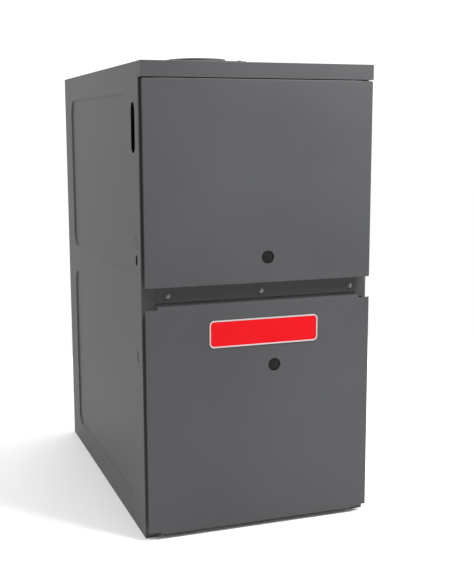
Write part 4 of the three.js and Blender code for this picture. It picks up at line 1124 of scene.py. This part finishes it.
BLADES = 44
BLADE_DEPTH = 0.020
END_RING = 0.007
half_wheel = (rotor_high[0] - rotor_low[0]) / 2
cage_inner = WHEEL_RADIUS - BLADE_DEPTH
blade = start(
    bpy.ops.mesh.primitive_plane_add, "blower_blade", (2 * half_wheel - 0.004, 0.004, 1), size=1,
    location=(0, shaft_at[0], shaft_at[1] + cage_inner + 0.0012))
bpy.ops.mesh.select_all(action="SELECT")
bpy.ops.mesh.delete(type="ONLY_FACE")
pick(blade, "VERT", lambda at, _: at.y > shaft_at[0])
bpy.ops.mesh.delete(type="VERT")
BLADE_LINE = ((0.0004, 0.0035), (0.0012, 0.0035), (0.0024, 0.0035), (0.0040, 0.0035),
              (0.0058, 0.0030))
pick(blade, "EDGE", lambda *_: True)
for y, z in BLADE_LINE:
    push(y=y, z=z)
apply(blade, "SOLIDIFY", thickness=0.0008, offset=0)
bpy.ops.object.mode_set(mode="EDIT")
bpy.ops.mesh.select_all(action="SELECT")
bpy.ops.mesh.spin(
    steps=BLADES, angle=2 * math.pi, center=(0, *shaft_at), axis=(1, 0, 0), dupli=True)
bpy.ops.mesh.select_all(action="SELECT")
bpy.ops.mesh.remove_doubles(threshold=SEAM)
bpy.ops.mesh.normals_make_consistent(inside=False)
bpy.ops.object.mode_set(mode="OBJECT")
for end in (-1, 1):
    face = end * half_wheel
    band = spun(
        "end_ring",
        [(WHEEL_RADIUS - 0.0008, face), (WHEEL_RADIUS, face - end * 0.0008),
         (WHEEL_RADIUS, face - end * END_RING), (WHEEL_RADIUS - 0.0015, face - end * END_RING),
         (WHEEL_RADIUS - 0.0015, face - end * 0.0020), (cage_inner + 0.002, face - end * 0.0020),
         (cage_inner, face - end * 0.0012), (cage_inner, face - end * 0.0004),
         (cage_inner + 0.0006, face)],
        "x", (0, *shaft_at), 88)
    bpy.ops.object.mode_set(mode="OBJECT")
    bpy.ops.object.select_all(action="DESELECT")
    band.select_set(True)
    blade.select_set(True)
    bpy.context.view_layer.objects.active = blade
    bpy.ops.object.join()
blade.name = "blower_blades"
fitted(blade, zinc_sheet, "blower_cage")

disc_radius = cage_inner - 0.0003
AXLE_HOLE = 0.00665
wheel = spun(
    "blower_disc",
    [(AXLE_HOLE, -0.014), (0.0190, -0.014), (0.020, -0.013), (0.020, -0.002),
     (0.0600, -0.002), (0.0640, -0.0010), (disc_radius - 0.004, -0.0010), (disc_radius, -0.002),
     (disc_radius, 0.002), (disc_radius - 0.004, 0.0010), (0.0640, 0.0010), (0.0600, 0.002),
     (0.020, 0.002), (0.020, 0.013), (0.0190, 0.014), (AXLE_HOLE, 0.014)],
    "x", (0, *shaft_at), 88)
set_screw = closed_rod(
    "set_screw", 0.004, (0.008, shaft_at[0], shaft_at[1] + 0.0075),
    (0.008, shaft_at[0], shaft_at[1] + 0.024), 0.0005, 16)
combine(wheel, "UNION", set_screw)
fitted(wheel, zinc_sheet, "blower_wheel")

low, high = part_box("blower_shaft")
axle = closed_rod("blower_axle", (high[1] - low[1]) / 2, (low[0], *shaft_at),
                  (high[0], *shaft_at), 0.0008, 48)
fitted(axle, ground_steel, "blower_shaft")


# Blower motor: a drawn steel shell with domed ends and cooling slots, painted
# black. Three arms clamp it in the right inlet.

low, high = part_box("blower_motor")
MOTOR_RADIUS = (high[1] - low[1]) / 2
motor_line = [
    (AXLE_HOLE, 0.0), (0.018, 0.0), (0.019, 0.0015), (0.040, 0.0018), (0.052, 0.0042),
    (0.060, 0.0078), (0.0655, 0.0110), (0.0680, 0.0150)]
first = [(min(radius, MOTOR_RADIUS), low[0] + along) for radius, along in motor_line]
second = [(min(radius, MOTOR_RADIUS), high[0] - along) for radius, along in reversed(motor_line)]
shell = spun("blower_motor_shell", first + second, "x", (0, *shaft_at), 72)
for k in range(8):
    angle = math.radians(45 * k + 22.5)
    at = Vector((high[0] - 0.002, shaft_at[0] + 0.031 * math.cos(angle),
                 shaft_at[1] + 0.031 * math.sin(angle)))
    vent = start(
        bpy.ops.mesh.primitive_cube_add, "vent", (0.010, 0.016, 0.0055), size=1,
        location=at, rotation=(angle, 0, 0))
    combine(shell, "DIFFERENCE", vent)
bevelled(shell, 0.0004, 2, 50)
fitted(shell, black_paint, "blower_motor")


# Control board: a green circuit board on standoffs, with three relays, a
# terminal strip, a capacitor, a status light behind the sight plug and a
# white plug for the harness.


def solder_mask():
    """Green lacquer with paler copper runs under it."""
    finish = Finish("solder_mask")
    spot = finish.place()
    runs = finish.node("ShaderNodeTexVoronoi", "Distance", {"distance": "MANHATTAN"}, spot)
    runs.link.node.inputs["Scale"].default_value = 95.0
    cloud = finish.noise(spot, 60.0, 2.0)
    return finish.set(
        Base_Color=finish.blend(
            runs.between(0.44, 0.50), (0.010, 0.085, 0.036), (0.022, 0.15, 0.065)),
        Roughness=0.30 + cloud * 0.1,
        Normal=finish.bump(runs, 0.00008, 0.3))


low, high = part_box("control_board")
board_face = low[1] + 0.020
green_board = start_box("circuit_board", (low[0], board_face, low[2]),
                        (high[0], board_face + 0.0016, high[2]))
bevelled(green_board, 0.0004, 2, 40)
for x in (low[0] + 0.008, high[0] - 0.008):
    for z in (low[2] + 0.008, high[2] - 0.008):
        combine(green_board, "UNION", closed_rod(
            "standoff", 0.0035, (x, board_face + 0.0004, z), (x, high[1], z), 0.0003, 24))


def on_board(piece, material, slot):
    finished(piece, material, slot, "cabinet", "control_board")


on_board(green_board, solder_mask(), "circuit_green")
for k, x in enumerate((0.010, 0.038, 0.066), 1):
    relay = start_box(f"board_relay_{k}", (low[0] + x, board_face - 0.018, high[2] - 0.048),
                      (low[0] + x + 0.022, board_face, high[2] - 0.020))
    pick(relay, "FACE", lambda _, way: way.y < -0.9)
    bpy.ops.mesh.inset(thickness=0.0015)
    push(y=-0.0003)
    bevelled(relay, 0.0006, 2, 40)
    on_board(relay, black_plastic, "black_plastic")
strip = start_box("board_terminals", (0.040, board_face - 0.012, low[2] + 0.006),
                  (0.112, board_face, low[2] + 0.018))
bevelled(strip, 0.0005, 2, 40)
terminal_xs = [0.046 + 0.012 * k for k in range(6)]
for x in terminal_xs:
    combine(strip, "DIFFERENCE", box_cutter(
        (x - 0.0042, board_face - 0.013, low[2] + 0.0085),
        (x + 0.0042, board_face - 0.008, low[2] + 0.0190)))
on_board(strip, pale_ceramic, "ceramic")
for k, x in enumerate(terminal_xs, 1):
    screw = closed_rod(f"terminal_screw_{k}", 0.003, (x, board_face - 0.0105, low[2] + 0.0135),
                       (x, board_face - 0.0075, low[2] + 0.0135), 0.0005, 24)
    combine(screw, "DIFFERENCE", box_cutter(
        (x - 0.004, board_face - 0.011, low[2] + 0.0132),
        (x + 0.004, board_face - 0.0098, low[2] + 0.0138)))
    on_board(screw, zinc_steel, "bright_steel")
can = closed_rod("board_capacitor", 0.008, (0.096, low[1], 0.340), (0.096, board_face, 0.340),
                 0.0008, 40)
on_board(can, black_plastic, "black_plastic")
plug_x, _, plug_z = centre("lower_sight_plug")
light = closed_rod("status_light", 0.0025, (plug_x, board_face - 0.006, plug_z),
                   (plug_x, board_face, plug_z), 0.0016, 24)
on_board(light, red_plastic, "red_plastic")
socket = start_box("board_plug", (-0.006, board_face - 0.014, high[2] - 0.014),
                   (0.026, board_face, high[2] - 0.002))
bevelled(socket, 0.0006, 2, 40)
on_board(socket, pale_ceramic, "ceramic")


# Transformer: a stack of steel laminations round a varnished winding, welded
# to two feet on the tray.


def laminations():
    finish = Finish("laminations")
    spot = finish.place()
    leaves = finish.node("ShaderNodeTexWave", "Fac", {"bands_direction": "Y"}, spot)
    leaves.link.node.inputs["Scale"].default_value = 320.0
    cloud = finish.noise(spot, 80.0, 2.0)
    finish.shader.inputs["Metallic"].default_value = 0.6
    return finish.set(
        Base_Color=finish.blend(leaves, (0.10, 0.10, 0.105), (0.22, 0.22, 0.225)),
        Roughness=0.42 + cloud * 0.15,
        Normal=finish.bump(leaves, 0.0001, 0.5))


def varnished():
    finish = Finish("varnished_winding")
    spot = finish.place()
    turns = finish.node("ShaderNodeTexWave", "Fac", {"bands_direction": "X"}, spot)
    turns.link.node.inputs["Scale"].default_value = 250.0
    return finish.set(
        Base_Color=finish.blend(turns, (0.16, 0.055, 0.016), (0.30, 0.12, 0.04)),
        Roughness=0.30 + turns * 0.15,
        Normal=finish.bump(turns, 0.0002, 0.5))


low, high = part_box("transformer")
core = start_box("transformer_core", (low[0], low[1] + 0.008, low[2] + 0.010),
                 (high[0], high[1] - 0.008, high[2] - 0.010))
bevelled(core, 0.0006, 2, 40)
feet = start_box("feet", (low[0], high[1] - 0.0015, low[2]), high)
bevelled(feet, 0.0004, 2, 40)
combine(core, "UNION", feet)
for x in (low[0], high[0] - 0.005):
    leg = start_box("leg", (x, high[1] - 0.010, low[2] + 0.010),
                    (x + 0.005, high[1] - 0.001, high[2] - 0.010))
    combine(core, "UNION", leg)
finished(core, laminations(), "bright_steel", "cabinet", "transformer")
winding = start_box("transformer_winding", (low[0] + 0.010, low[1], low[2] + 0.018),
                    (high[0] - 0.010, high[1] - 0.0025, high[2] - 0.018))
pick(winding, "EDGE", lambda _, way: abs(way.y) > 0.9)
bpy.ops.mesh.bevel(offset=0.006, segments=5, affect="EDGES")
bevelled(winding, 0.0015, 3, 50)
finished(winding, varnished(), "winding", "cabinet", "transformer")
